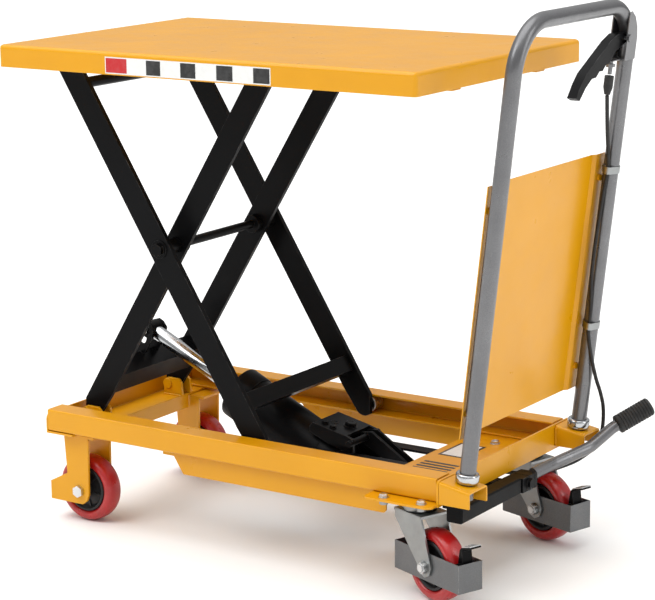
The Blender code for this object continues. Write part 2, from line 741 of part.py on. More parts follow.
def make_caster_fork(name, side, pivot):
    """Crown and two tapered cheeks that pass outside the guard, with the wheel's axle."""
    place = caster_place(name, side)
    crown_z = 0.1180
    bm = block((-0.028, 0.0320), (-0.0232, 0.0232), (crown_z - 0.0035, crown_z))
    fork = part("caster_fork_" + name, moved(bm, place), "zinc", pivot)
    cheek = [(-0.0262, crown_z - 0.001), (-0.0262, 0.106), (TRAIL - 0.0165, 0.052), (TRAIL - 0.0115, 0.0405)]
    cheek += [(TRAIL, 0.0355), (TRAIL + 0.0105, 0.0405), (TRAIL + 0.0145, 0.052), (0.0310, crown_z - 0.001)]
    for tag, y in (("a", (-0.0235, -0.0205)), ("b", (0.0205, 0.0235))):
        add(fork, moved(prism(cheek, "y", *y), place), "cheek_" + tag, pivot)
    axle = moved(rod((TRAIL, -0.0312, WHEEL_R), (TRAIL, 0.0312, WHEEL_R), 0.0057, 14), place)
    add(fork, axle, "axle", pivot)
    for tag, y in (("head", -0.0265), ("nut", 0.0265)):
        nut = moved(hexagon((TRAIL, y, WHEEL_R), (0, 1, 0), 0.015, 0.0064), place)
        add(fork, nut, tag, pivot)


def make_caster_guard(name, side, pivot):
    """Open box of sheet round the wheel, held by the axle, with the brake's pin across it."""
    place = caster_place(name, side)
    t = 0.0015
    half = 0.0186
    x0, x1 = TRAIL - 0.0700, TRAIL + 0.0700
    bm = block((x0, x1), (-half - t, half + t), (0.030, 0.070))
    guard = part("caster_guard_" + name, moved(bm, place), "guard", pivot)
    inner = block((x0 + t, x1 - t), (-half, half), (0.020, 0.080))
    cut(guard, moved(inner, place), "inside", pivot)
    hole = rod((TRAIL, -0.05, WHEEL_R), (TRAIL, 0.05, WHEEL_R), 0.0060, 14)
    cut(guard, moved(hole, place), "axle", pivot)
    pin = moved(rod((BRAKE_X, -half - 0.001, BRAKE_Z), (BRAKE_X, half + 0.001, BRAKE_Z), 0.0020, 12), place)
    add(guard, pin, "brake_pin", pivot)


def make_caster_brake(name, side, pivot):
    """Foot lever behind the wheel: its shoe faces the tyre and its tab rises above the guard."""
    place = caster_place(name, side)
    lever = [(0.0905, 0.0560), (0.0950, 0.0555), (0.1025, 0.0600), (0.1030, 0.0680), (0.1010, 0.0850)]
    lever += [(0.1030, 0.0880), (0.1210, 0.0940), (0.1205, 0.0962), (0.1010, 0.0915), (0.0965, 0.0870)]
    lever += [(0.0935, 0.0700)]
    brake = part("caster_brake_" + name, moved(prism(lever, "y", -0.0085, 0.0085), place), "black", pivot)
    bush = moved(rod((BRAKE_X, -0.0175, BRAKE_Z), (BRAKE_X, 0.0175, BRAKE_Z), 0.0042, 14), place)
    add(brake, bush, "bush", pivot)
    hole = moved(rod((BRAKE_X, -0.03, BRAKE_Z), (BRAKE_X, 0.03, BRAKE_Z), 0.0023, 12), place)
    cut(brake, hole, "axle", pivot)


# ---- pump, cylinder and pedal ------------------------------------------------------
def along_rod(distance, across=0.0, y=0.0):
    """A point measured from the cylinder's foot pivot towards the rod's eye."""
    a = Vector((CYL_PIVOT[0], 0, CYL_PIVOT[1]))
    way = (Vector((ROD_PIVOT[0], 0, ROD_PIVOT[1])) - a).normalized()
    up = Vector((-way.z, 0, way.x))
    return a + way * distance - up * across + Vector((0, y, 0))


def make_pump():
    """Pump block with its web plate, feet and the ears of the cylinder."""
    top = [(0.050, 0.160), (0.082, 0.146), (0.125, 0.135), (0.125, 0.158), (0.112, 0.162), (0.055, 0.174), (0.050, 0.168)]
    pump = part("pump_housing", prism(top, "y", -0.034, -0.0295), "black")
    add(pump, prism(top, "y", 0.0295, 0.034), "right_web")
    cap = [(0.052, 0.1685), (0.056, 0.174), (0.112, 0.162), (0.111, 0.158), (0.055, 0.1695)]
    add(pump, prism(cap, "y", -0.034, 0.034), "cap")
    for name, side in SIDES:
        ear = [(0.082, 0.086), (0.088, 0.080), (0.112, 0.080), (0.118, 0.086), (0.125, 0.140), (0.060, 0.140)]
        add(pump, prism(ear, "y", *span(side, (0.0455, 0.0505))), name + "_ear")
        foot = block((0.098, 0.260), span(side, (0.0290, 0.0505)), (0.1335, 0.1372))
        add(pump, foot, name + "_foot")
        pin = rod((CYL_PIVOT[0], side * 0.0345, CYL_PIVOT[1]), (CYL_PIVOT[0], side * 0.0535, CYL_PIVOT[1]), 0.0069, 16)
        add(pump, pin, name + "_pin")
    axle = rod((PEDAL_X, -0.040, PEDAL_Z), (PEDAL_X, 0.040, PEDAL_Z), 0.0050, 14)
    add(pump, axle, "pedal_axle")
    cross = block((0.244, 0.260), (-0.050, 0.050), (0.1335, 0.1372))
    add(pump, cross, "cross")


def make_cylinder(pivot):
    """Barrel with a blind bore, a gland at the mouth and a cross eye at the foot."""
    axis = along_rod(1) - along_rod(0)
    bore = ROD_R + 0.0004
    profile = [
        (0.0300, 0.0420),
        (0.0300, 0.1940),
        (bore, 0.1960),
        (bore, 0.2260),
        (0.0200, 0.2260),
        (0.0220, 0.2215),
        (BARREL_R - 0.0030, 0.2215),
        (BARREL_R, 0.2180),
        (BARREL_R, 0.1920),
        (BARREL_R - 0.0020, 0.1900),
        (BARREL_R - 0.0020, 0.0540),
        (BARREL_R, 0.0520),
        (BARREL_R, 0.0230),
        (0.0350, 0.0180),
    ]
    cylinder = part("pump_cylinder", lathe(profile, along_rod(0), axis, 24), "black", pivot, 40)
    neck = block((-0.0130, 0.0130), (-0.0240, 0.0240), (0.0020, 0.0260))
    moved(neck, Matrix.Translation(along_rod(0)) @ aim(axis))
    add(cylinder, neck, "neck", pivot)
    eye = rod((CYL_PIVOT[0], -0.0430, CYL_PIVOT[1]), (CYL_PIVOT[0], 0.0430, CYL_PIVOT[1]), 0.0165, 20)
    add(cylinder, eye, "eye", pivot)
    for name, side in SIDES:
        hole = rod((CYL_PIVOT[0], side * 0.0335, CYL_PIVOT[1]), (CYL_PIVOT[0], side * 0.0500, CYL_PIVOT[1]), 0.0073, 16)
        cut(cylinder, hole, name + "_pin", pivot)


def make_piston_rod(pivot):
    axis = along_rod(1) - along_rod(0)
    reach = math.dist(CYL_PIVOT, ROD_PIVOT)
    profile = [(0.0290, 0.1480), (0.0290, 0.1640), (ROD_R, 0.1642), (ROD_R, reach - 0.008)]
    piston = part("piston_rod", lathe(profile, along_rod(0), axis, 24), "chrome", pivot, 40)
    eye = rod((ROD_PIVOT[0], -0.0120, ROD_PIVOT[1]), (ROD_PIVOT[0], 0.0120, ROD_PIVOT[1]), 0.0130, 20)
    add(piston, eye, "eye", pivot)
    pin = rod((ROD_PIVOT[0], -0.0210, ROD_PIVOT[1]), (ROD_PIVOT[0], 0.0210, ROD_PIVOT[1]), 0.0050, 14)
    add(piston, pin, "pin", pivot)


def make_pedal(pivot):
    """Forked pedal lever from the pump axle to the clamp of the grey tube."""
    cheek = [(PEDAL_X - 0.009, 0.144), (PEDAL_X - 0.009, 0.158), (PEDAL_X + 0.009, 0.160), (0.200, 0.116)]
    cheek += [(0.355, 0.1185), (0.360, 0.128), (0.366, 0.1362), (0.3905, 0.1362), (0.3905, 0.1145)]
    cheek += [(0.360, 0.1045), (0.200, 0.0960), (0.190, 0.100)]
    bar = part("pedal_lever", prism(cheek, "y", 0.0080, 0.0130), "black", pivot)
    add(bar, prism(cheek, "y", 0.0240, 0.0280), "cheek", pivot)
    web = block((0.205, 0.352), (0.0085, 0.0275), (0.1060, 0.1100))
    add(bar, web, "web", pivot)
    head = block((0.3640, 0.3900), (-0.0100, 0.0310), (0.1150, 0.1358))
    add(bar, head, "head", pivot)
    cut(bar, rod((PEDAL_X, -0.02, PEDAL_Z), (PEDAL_X, 0.05, PEDAL_Z), 0.0053, 14), "axle", pivot)
    bolt = hexagon((0.3925, 0.0080, 0.1255), (1, 0, 0), 0.013, 0.006)
    add(bar, bolt, "bolt", pivot)
    add(bar, rod((0.3890, 0.0080, 0.1255), (0.3908, 0.0080, 0.1255), 0.0098, 16), "washer", pivot)


PEDAL_PATH = ((0.3780, 0.0200, 0.1290), (0.3930, 0.0750, 0.1370), (0.4190, 0.1330, 0.1500), (0.4372, 0.1680, 0.1736))
GRIP_END = (0.4755, 0.2095, 0.2016)


def pedal_points():
    corners = [Vector(p) for p in PEDAL_PATH] + [Vector(GRIP_END)]
    return fillet_path(corners, 0.05, 4)


def make_pedal_tube(pivot):
    path = pedal_points()
    start = path[1] - path[0]
    path[0] = path[0] + start.normalized() * 0.0145
    path[-1] = Vector(GRIP_END) + (Vector(PEDAL_PATH[3]) - Vector(GRIP_END)).normalized() * 0.0045
    part("pedal_tube", sweep(path, 0.0085, 12), "grey", pivot, 40)


def make_pedal_grip(pivot):
    a = Vector(PEDAL_PATH[3])
    b = Vector(GRIP_END)
    way = (b - a).normalized()
    start = a + way * 0.0072
    length = (b - start).length
    profile = [(0.0088, length - 0.003), (0.0088, 0.0), (0.0124, 0.0), (0.0138, 0.0012)]
    ribs = 4
    for k in range(ribs):
        z0 = 0.003 + k * (length - 0.008) / ribs
        z1 = 0.003 + (k + 0.62) * (length - 0.008) / ribs
        profile += [(0.0138, z0), (0.0138, z1), (0.0124, z1 + 0.0004)]
        profile += [(0.0124, 0.003 + (k + 1) * (length - 0.008) / ribs - 0.0004)]
    profile += [(0.0138, length - 0.002), (0.0124, length)]
    part("pedal_grip", lathe(profile, start, way, 14), "rubber", pivot, 30)


# ---- release lever and cable -------------------------------------------------------
LEVER_Y = 0.1345
LEVER_Z = 0.7350
BOOT_Y = 0.1155


CLIP_CABLE = {"upper": (0.4356, 0.1430), "lower": (0.40935, 0.1438)}


def lean_x(z, off=0.0):
    """X of the handle's own sloping plane at a height."""
    return 0.388 + 0.123 * (z - 0.18) + off


def leaned(bm):
    """Shears a piece drawn beside x = 0 onto the handle's plane."""
    for vert in bm.verts:
        vert.co.x += lean_x(vert.co.z)
    return bm


def make_release_bracket():
    """Two plates astride the handle's bend, with a floor, a pivot pin and a cable adjuster."""
    plate = [(0.130, 0.7045), (0.130, 0.7690), (0.136, 0.7715), (0.147, 0.7640), (0.156, 0.7500)]
    plate += [(0.160, 0.7350), (0.160, 0.7045)]
    bracket = part("release_bracket", leaned(prism(plate, "x", 0.0114, 0.0130)), "grey")
    add(bracket, leaned(prism(plate, "x", -0.0130, -0.0114)), "back")
    add(bracket, leaned(block((-0.0125, 0.0125), (0.1305, 0.1460), (0.7047, 0.7065))), "floor")
    add(bracket, leaned(block((-0.0060, 0.0060), (0.1080, 0.1310), (0.7049, 0.7063))), "tab")
    pin = leaned(rod((-0.0125, LEVER_Y, LEVER_Z), (0.0125, LEVER_Y, LEVER_Z), 0.0028, 12))
    add(bracket, pin, "pin")
    head = leaned(hexagon((0.0140, LEVER_Y, LEVER_Z), (1, 0, 0), 0.009, 0.003))
    add(bracket, head, "head")
    stem = leaned(rod((0, BOOT_Y, 0.6870), (0, BOOT_Y, 0.7055), 0.0030, 12))
    add(bracket, stem, "stem")
    add(bracket, leaned(hexagon((0, BOOT_Y, 0.6990), (0, 0, 1), 0.011, 0.004)), "nut")


def make_release_lever(pivot):
    grip = [(0.1405, 0.7365), (0.1300, 0.7430), (0.1120, 0.7425), (0.0930, 0.7347), (0.0700, 0.7205)]
    grip += [(0.0320, 0.6970), (0.0210, 0.6840), (0.0105, 0.6660), (0.0215, 0.6615), (0.0346, 0.6770)]
    grip += [(0.0500, 0.6880), (0.0620, 0.6885), (0.0700, 0.6960), (0.0790, 0.6955), (0.0870, 0.7030)]
    grip += [(0.0960, 0.7040), (0.1130, 0.7200), (0.1400, 0.7290)]
    lever = part("release_lever", leaned(prism(grip, "x", -0.0070, 0.0070)), "black", pivot)
    cut(lever, leaned(rod((-0.02, LEVER_Y, LEVER_Z), (0.02, LEVER_Y, LEVER_Z), 0.0031, 12)), "pin", pivot)


CABLE_POINTS = (
    (0.4466, 0.1165, 0.6572),
    (0.4435, 0.1235, 0.6340),
    (0.4402, 0.1315, 0.6070),
    (0.4375, 0.1400, 0.5760),
    (0.4360, 0.1430, 0.5490),
    (0.4300, 0.1432, 0.5200),
    (0.4262, 0.1425, 0.4940),
    (0.4218, 0.1390, 0.4560),
    (0.4181, 0.1380, 0.4245),
    (0.4145, 0.1400, 0.3950),
    (0.4125, 0.1434, 0.3650),
    (0.4112, 0.1438, 0.3400),
    (0.4086, 0.1438, 0.3130),
    (0.4125, 0.1480, 0.2760),
    (0.4150, 0.1570, 0.2460),
    (0.4170, 0.1670, 0.2240),
    (0.4155, 0.1800, 0.1990),
    (0.4130, 0.1850, 0.1720),
    (0.4110, 0.1800, 0.1510),
    (0.4040, 0.1690, 0.1355),
    (0.3940, 0.1600, 0.1255),
    (0.3850, 0.1500, 0.1190),
    (0.3750, 0.1320, 0.1150),
    (0.3650, 0.1100, 0.1132),
    (0.3480, 0.0860, 0.1135),
    (0.3260, 0.0680, 0.1150),
    (0.2980, 0.0540, 0.1190),
    (0.2700, 0.0470, 0.1240),
)


def smooth_curve(points, per_span):
    """Catmull-Rom points through the given ones."""
    pts = [Vector(p) for p in points]
    pts = [pts[0] * 2 - pts[1]] + pts + [pts[-1] * 2 - pts[-2]]
    out = []
    for i in range(1, len(pts) - 2):
        p0, p1, p2, p3 = pts[i - 1], pts[i], pts[i + 1], pts[i + 2]
        for k in range(per_span):
            t = k / per_span
            out.append(
                0.5
                * (
                    2 * p1
                    + (p2 - p0) * t
                    + (2 * p0 - 5 * p1 + 4 * p2 - p3) * t * t
                    + (3 * p1 - p0 - 3 * p2 + p3) * t * t * t
                )
            )
    out.append(pts[-2])
    return out


def make_cable():
    part("release_cable", sweep(smooth_curve(CABLE_POINTS, 2), 0.0027, 6), "rubber", None, 50)
    low = Vector((lean_x(0.6590), BOOT_Y, 0.6590))
    axis = Vector((0.123, 0, 1)).normalized()
    profile = [(0.0012, 0.0), (0.0040, 0.0), (0.0065, 0.0100), (0.0065, 0.0260), (0.0033, 0.0260)]
    profile += [(0.0033, 0.0180), (0.0012, 0.0170)]
    part("cable_boot", lathe(profile, low, axis, 16, True), "rubber", None, 40)


def hull(points):
    """Convex outline round 2D points, anticlockwise."""
    points = sorted(points)
    out = []
    for row in (points, list(reversed(points))):
        chain = []
        for p in row:
            while len(chain) > 1:
                a, b = chain[-2], chain[-1]
                if (b[0] - a[0]) * (p[1] - a[1]) - (b[1] - a[1]) * (p[0] - a[0]) > 1e-9:
                    break
                chain.pop()
            chain.append(p)
        out += chain[:-1]
    return out


def make_clip(name, side, z):
    """Flat metal band round the handle leg and the cable beside it."""
    centre = Vector(handle_point(side, z))
    axis = Vector(handle_point(side, z + 0.1)) - centre
    place = Matrix.Translation(centre) @ aim(axis)
    x, y = CLIP_CABLE[name]
    cable = place.inverted() @ Vector((x, y, z))
    inner = HANDLE_R + GAP
    ring = []
    for k in range(24):
        turn = 2 * math.pi * k / 24
        ring.append(((inner + 0.0012) * math.cos(turn), (inner + 0.0012) * math.sin(turn)))
        ring.append((cable.x + 0.0050 * math.cos(turn), cable.y + 0.0050 * math.sin(turn)))
    bm = moved(prism(hull(ring), "z", 0.0, 0.010), place)
    clip = part("cable_clip_" + name, bm, "chrome", None, 40)
    cut(clip, moved(rod((0, 0, -0.02), (0, 0, 0.04), inner, 24), place), "leg")
    cut(clip, moved(rod((cable.x, cable.y, -0.02), (cable.x, cable.y, 0.04), 0.0038, 16), place), "cable")


# ---- assembly ----------------------------------------------------------------------
def build():
    clear_scene()
    root = empty("table_root", (CENTRE_SHIFT, 0, 0))
    lift = empty("pivot_lift", (PIVOT_X, 0, PIVOT_Z), root)
    cross = empty("pivot_middle", (MID_X, 0, MID_Z), root)
    top = empty("pivot_platform", (PIVOT_X, 0, TOP_PIVOT_Z), root)
    tilt = empty("pivot_cylinder", (CYL_PIVOT[0], 0, CYL_PIVOT[1]), root)
    pedal = empty("pivot_pedal", (PEDAL_X, 0, PEDAL_Z), root)
    lever = empty("pivot_lever", (lean_x(LEVER_Z), LEVER_Y, LEVER_Z), root)
    make_platform(top)
    make_inner_cross(lift)
    make_centre_shaft(lift)
    make_outer_ties(cross)
    make_front_member()
    make_deck()
    make_handle()
    make_guard_panel()
    make_rear_bar()
    make_pump()
    make_cylinder(tilt)
    make_piston_rod(tilt)
    make_pedal(pedal)
    make_pedal_tube(pedal)
    make_pedal_grip(pedal)
    make_release_bracket()
    make_release_lever(lever)
    make_cable()
    make_clip("upper", 1, 0.5450)
    make_clip("lower", 1, 0.3200)
    for name, side in SIDES:
        make_roller_channel(name, side, top)
        make_inner_arm(name, side, lift)
        make_outer_arm(name, side, cross)
        make_rail(name, side)
        make_socket(name, side)
        make_collar(name, side)
        make_clevis(name, side)
        make_front_fork(name, side)
        make_front_axle(name, side)
        spin = empty("pivot_top_roller_" + name, (ROLLER_X, side * 0.111, TOP_PIVOT_Z), root)
        make_roller("top_roller_" + name, (ROLLER_X, TOP_PIVOT_Z), side, (0.1040, 0.1180), 0.0063, spin)
        spin = empty("pivot_base_roller_" + name, (ROLLER_X, side * 0.157, PIVOT_Z), root)
        make_roller("base_roller_" + name, (ROLLER_X, PIVOT_Z), side, (0.1460, 0.1680), 0.0073, spin)
        centre = (FRONT_X, side * FRONT_Y, WHEEL_R)
        spin = empty("pivot_front_wheel_" + name, centre, root)
        make_wheel("front", name, centre, (0, 1, 0), spin)
        swivel = empty("pivot_swivel_" + name, (SWIVEL_X, side * SWIVEL_Y, 0.12), root)
        make_caster_plate(name, side)
        make_caster_fork(name, side, swivel)
        make_caster_guard(name, side, swivel)
        place = caster_place(name, side)
        centre = place @ Vector((TRAIL, 0, WHEEL_R))
        spin = empty("pivot_caster_wheel_" + name, centre, root)
        make_wheel("caster", name, centre, place.to_3x3() @ Vector((0, 1, 0)), spin)
        brake = empty("pivot_brake_" + name, place @ Vector((BRAKE_X, 0, BRAKE_Z)), root)
        make_caster_brake(name, side, brake)


build()
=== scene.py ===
"""Looks of a scissor lift table: finishes, softened edges, wheels, cable, fittings and studio.

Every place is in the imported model's own frame: metres, +Z up, floor at z = 0, handle at +X.
"""

import json
import math

import bmesh
import bpy
from mathutils import Matrix, Vector

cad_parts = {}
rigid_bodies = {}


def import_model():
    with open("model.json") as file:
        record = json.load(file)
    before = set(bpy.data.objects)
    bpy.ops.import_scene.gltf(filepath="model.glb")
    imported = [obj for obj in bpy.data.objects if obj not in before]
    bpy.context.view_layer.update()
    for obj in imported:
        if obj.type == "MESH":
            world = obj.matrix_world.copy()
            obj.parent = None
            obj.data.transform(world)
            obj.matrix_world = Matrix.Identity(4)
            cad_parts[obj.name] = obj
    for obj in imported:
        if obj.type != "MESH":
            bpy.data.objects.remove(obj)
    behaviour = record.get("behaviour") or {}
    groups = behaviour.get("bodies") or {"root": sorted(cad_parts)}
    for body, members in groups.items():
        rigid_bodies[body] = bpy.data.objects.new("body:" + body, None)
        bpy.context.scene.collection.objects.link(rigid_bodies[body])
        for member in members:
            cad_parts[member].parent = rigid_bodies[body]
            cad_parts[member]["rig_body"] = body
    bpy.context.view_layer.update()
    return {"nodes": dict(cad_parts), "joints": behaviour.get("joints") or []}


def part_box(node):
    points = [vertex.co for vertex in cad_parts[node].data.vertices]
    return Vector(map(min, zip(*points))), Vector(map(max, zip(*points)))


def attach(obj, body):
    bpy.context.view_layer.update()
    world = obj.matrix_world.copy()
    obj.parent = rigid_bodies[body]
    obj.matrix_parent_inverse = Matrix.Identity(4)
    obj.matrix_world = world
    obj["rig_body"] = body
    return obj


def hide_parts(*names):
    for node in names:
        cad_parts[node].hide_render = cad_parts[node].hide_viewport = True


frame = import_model()
NODES = frame["nodes"]
JOINTS = {joint["child"]: joint for joint in frame["joints"]}

# ---- sizes, in metres and degrees ------------------------------------------------------
PEDAL_PIVOT_X = 0.121
ROW_SHIFT = JOINTS["pedal"]["pos_m"][0] - PEDAL_PIVOT_X
SIDES = (("left", -1), ("right", 1))
WHEEL_R = 0.050
WHEEL_HALF = 0.0150
TRAIL = 0.039
TAB_START = 0.1020
TAB_END = 0.1204
TREAD_LOW = 0.0916
TREAD_HIGH = 0.0966
HANDLE_X = 0.388
HANDLE_Z = 0.18
HANDLE_SLOPE = 0.123
HANDLE_Y = 0.158
HANDLE_R = 0.011
HANDLE_FOOT = 0.147
HANDLE_TOP = 0.780
HANDLE_BEND = 0.065
COLLAR_Z = 0.1705
CABLE_R = 0.0027
EDGE_SOFT = 0.0007
SHEET = 0.0030
WASHER = 0.0012
LEVER_HOLE = 0.0034
LEVER_HOLE_EASED = 0.0037
PEDAL_TUBE_R = 0.0085
PEDAL_BEND = 0.05
GRIP_START = 0.0072
GRIP_R = 0.0138
GRIP_GROOVE_R = 0.0127
GRIP_RIBS = 11
BORE_R = 0.0120
BORE_FLOOR = 0.0700
PUMP_LEAN = 12.1
PUMP_TOP_X = 0.056
PUMP_TOP_Z = 0.174
PUMP_SLOPE = 0.2143
CAMERA_PLACE = (1.8606 + ROW_SHIFT, -2.6776, 1.0717)
CAMERA_AZIMUTH = 33.90
CAMERA_ELEVATION = 12.61
CAMERA_ROLL = -0.70
CAMERA_LENS = 125.85
SENSOR_WIDTH = 36.0
SKY_LOW = 0.30
SKY_HIGH = 0.95
FLOOR_HALF = 14.0
FLOOR_Z = -0.0005

CABLE_POINTS = (
    (0.4466, 0.1165, 0.6572),
    (0.4435, 0.1235, 0.6340),
    (0.4402, 0.1315, 0.6070),
    (0.4375, 0.1400, 0.5760),
    (0.4360, 0.1430, 0.5490),
    (0.4300, 0.1432, 0.5200),
    (0.4262, 0.1425, 0.4940),
    (0.4218, 0.1390, 0.4560),
    (0.4181, 0.1380, 0.4245),
    (0.4145, 0.1400, 0.3950),
    (0.4125, 0.1434, 0.3650),
    (0.4112, 0.1438, 0.3400),
    (0.4086, 0.1438, 0.3130),
    (0.4125, 0.1480, 0.2760),
    (0.4150, 0.1570, 0.2460),
    (0.4170, 0.1670, 0.2240),
    (0.4155, 0.1800, 0.1990),
    (0.4130, 0.1850, 0.1720),
    (0.4110, 0.1800, 0.1510),
    (0.4040, 0.1690, 0.1355),
    (0.3940, 0.1600, 0.1255),
    (0.3850, 0.1500, 0.1190),
    (0.3750, 0.1320, 0.1150),
    (0.3650, 0.1100, 0.1132),
    (0.3480, 0.0860, 0.1135),
    (0.3260, 0.0680, 0.1150),
    (0.2980, 0.0540, 0.1190),
    (0.2700, 0.0470, 0.1240),
)
PEDAL_PATH = (
    (0.3780, 0.0200, 0.1290),
    (0.3930, 0.0750, 0.1370),
    (0.4190, 0.1330, 0.1500),
    (0.4372, 0.1680, 0.1736),
    (0.4755, 0.2095, 0.2016),
)
CYL_PIVOT = (0.100, 0.097)
ROD_PIVOT = (-0.262, 0.2683)


# ---- places ----------------------------------------------------------------------------
def at(point):
    """A point of the drawing, in the row frame."""
    return Vector((point[0] + ROW_SHIFT, point[1], point[2]))


def handle_point(side, z):
    """A point on the centre line of one handle leg."""
    return at((HANDLE_X + HANDLE_SLOPE * (z - HANDLE_Z), side * HANDLE_Y, z))


def wheel_axis(body):
    """Centre and direction of the joint that a body turns on."""
    joint = JOINTS[body]
    return Vector(joint["pos_m"]), Vector(joint["axis"]).normalized()


# ---- materials: a small writer for node graphs ----------------------------------------
SPAN_SOCKETS = ("From Min", "From Max", "To Min", "To Max")


class Graph:
    """Builds one Principled material from procedural layers in object space."""

    def __init__(self, name, **constants):
        self.material = bpy.data.materials.new(name)
        self.material.use_nodes = True
        self.tree = self.material.node_tree
        self.shader = self.tree.nodes["Principled BSDF"]
        for socket, value in constants.items():
            self.shader.inputs[socket.replace("_", " ")].default_value = value
        self.place = self.add("ShaderNodeTexCoord").outputs["Object"]

    def add(self, kind, **settings):
        """A new node of a kind, with its settings."""
        node = self.tree.nodes.new(kind)
        for key, value in settings.items():
            setattr(node, key, value)
        return node

    def join(self, source, target):
        """Links an output socket to an input socket."""
        self.tree.links.new(source, target)

    def noise(self, scale, detail=4.0, rough=0.55, stretch=None):
        """Value of a fractal noise, with stretch along each axis."""
        node = self.add("ShaderNodeTexNoise")
        node.inputs["Scale"].default_value = scale
        node.inputs["Detail"].default_value = detail
        node.inputs["Roughness"].default_value = rough
        source = self.place
        if stretch is not None:
            mapping = self.add("ShaderNodeMapping")
            mapping.inputs["Scale"].default_value = stretch
            self.join(self.place, mapping.inputs["Vector"])
            source = mapping.outputs["Vector"]
        self.join(source, node.inputs["Vector"])
        return node.outputs["Fac"]

    def cells(self, scale):
        """Distance field of small cells, for a moulded grain."""
        node = self.add("ShaderNodeTexVoronoi")
        node.inputs["Scale"].default_value = scale
        self.join(self.place, node.inputs["Vector"])
        return node.outputs["Distance"]

    def span(self, value, *limits):
        """Maps a value from one span to another, given as low, high, new low and new high."""
        node = self.add("ShaderNodeMapRange")
        for socket, number in zip(SPAN_SOCKETS, limits):
            node.inputs[socket].default_value = number
        self.join(value, node.inputs["Value"])
        return node.outputs["Result"]

    def blend(self, factor, first, second):
        """Mixes two colours, each a colour or a socket, by a factor."""
        node = self.add("ShaderNodeMix", data_type="RGBA")
        self.join(factor, node.inputs["Factor"])
        for socket, value in ((node.inputs[6], first), (node.inputs[7], second)):
            if isinstance(value, tuple):
                socket.default_value = (*value, 1.0)
            else:
                self.join(value, socket)
        return node.outputs[2]

    def crevice(self, reach):
        """1 in the open and lower in corners and gaps, within reach."""
        node = self.add("ShaderNodeAmbientOcclusion", samples=6, only_local=True)
        node.inputs["Distance"].default_value = reach
        return node.outputs["AO"]

    def edge(self, radius):
        """1 on edges and 0 on flats; it places edge wear and, on black paint, a painted edge
        highlight.
        """
        bevel = self.add("ShaderNodeBevel", samples=4)
        bevel.inputs["Radius"].default_value = radius
        flat = self.add("ShaderNodeNewGeometry")
        product = self.add("ShaderNodeVectorMath", operation="DOT_PRODUCT")
        self.join(bevel.outputs["Normal"], product.inputs[0])
        self.join(flat.outputs["Normal"], product.inputs[1])
        return self.span(product.outputs["Value"], 0.995, 0.90, 0.0, 1.0)

    def times(self, first, second):
        """Product of two masks."""
        node = self.add("ShaderNodeMath", operation="MULTIPLY", use_clamp=True)
        self.join(first, node.inputs[0])
        self.join(second, node.inputs[1])
        return node.outputs["Value"]

    def finish(self, colour, rough, height=None, depth=0.0, strength=0.3):
        """Connects the layers to the shader; height is a bump of a depth in metres."""
        self.join(colour, self.shader.inputs["Base Color"])
        self.join(rough, self.shader.inputs["Roughness"])
        if height is not None:
            bump = self.add("ShaderNodeBump")
            bump.inputs["Distance"].default_value = depth
            bump.inputs["Strength"].default_value = strength
            self.join(height, bump.inputs["Height"])
            self.join(bump.outputs["Normal"], self.shader.inputs["Normal"])
        return self.material


def paint(name, base, dark, edge_wear_and_highlight, rough, gloss, peel, edge_wear_and_highlight_strength, specular=0.5):
    """Sprayed enamel: slow colour drift, orange peel, painted shade in corners, and rubbed edges
    that on black paint also carry a painted highlight.
    """
    g = Graph(name, Coat_Weight=gloss, Coat_Roughness=0.16, Specular_IOR_Level=specular)
    drift = g.span(g.noise(9.0, 3.0), 0.35, 0.7, 0.0, 0.35)
    colour = g.blend(drift, base, dark)
    # painted shade: ambient occlusion darkens the paint in corners and gaps
    painted_crevice_shade = g.span(g.crevice(0.010), 0.25, 0.85, 0.55, 0.0)
    colour = g.blend(painted_crevice_shade, colour, tuple(0.55 * c for c in dark))
    # edge colour: rubbed wear, and on black paint also a painted highlight along the edges
    edge_mask = g.times(g.edge(0.0012), g.span(g.noise(70.0, 5.0), 0.42, 0.68, 0.0, edge_wear_and_highlight_strength))
    colour = g.blend(edge_mask, colour, edge_wear_and_highlight)
    roughness = g.span(g.noise(26.0, 5.0), 0.3, 0.7, rough - 0.05, rough + 0.07)
    return g.finish(colour, roughness, g.noise(peel, 2.0), 0.0004, 0.18)


def hammered(name, base, dark, metal, rough):
    """Metallic lacquer with a fine fleck."""
    g = Graph(name, Metallic=metal, Coat_Weight=0.35, Coat_Roughness=0.22)
    fleck = g.span(g.noise(900.0, 2.0), 0.4, 0.66, 0.0, 0.8)
    drift = g.span(g.noise(14.0, 4.0), 0.3, 0.75, 0.0, 0.45)
    colour = g.blend(drift, g.blend(fleck, base, tuple(1.35 * c for c in base)), dark)
    edge_mask = g.times(g.edge(0.0010), g.span(g.noise(90.0, 4.0), 0.45, 0.7, 0.0, 0.6))
    colour = g.blend(edge_mask, colour, (0.55, 0.55, 0.55))
    roughness = g.span(g.noise(40.0, 5.0), 0.3, 0.7, rough - 0.06, rough + 0.08)
    return g.finish(colour, roughness, g.noise(520.0, 3.0), 0.0003, 0.22)


def plated(name, base, tint, rough, scratch):
    """Bright plate with cloudy passivation, hairline scratches and painted shade in corners."""
    g = Graph(name, Metallic=1.0)
    cloud = g.span(g.noise(36.0, 5.0), 0.35, 0.7, 0.0, 0.6)
    colour = g.blend(cloud, base, tint)
    # painted shade: ambient occlusion darkens the plate in corners and gaps
    painted_crevice_shade = g.span(g.crevice(0.006), 0.2, 0.85, 0.6, 0.0)
    colour = g.blend(painted_crevice_shade, colour, tuple(0.25 * c for c in tint))
    lines = g.noise(240.0, 3.0, 0.7, (1.0, 1.0, 0.06))
    roughness = g.span(g.noise(60.0, 5.0, 0.7), 0.3, 0.75, rough - 0.05, rough + 0.12)
    return g.finish(colour, roughness, lines, 0.0002, scratch)


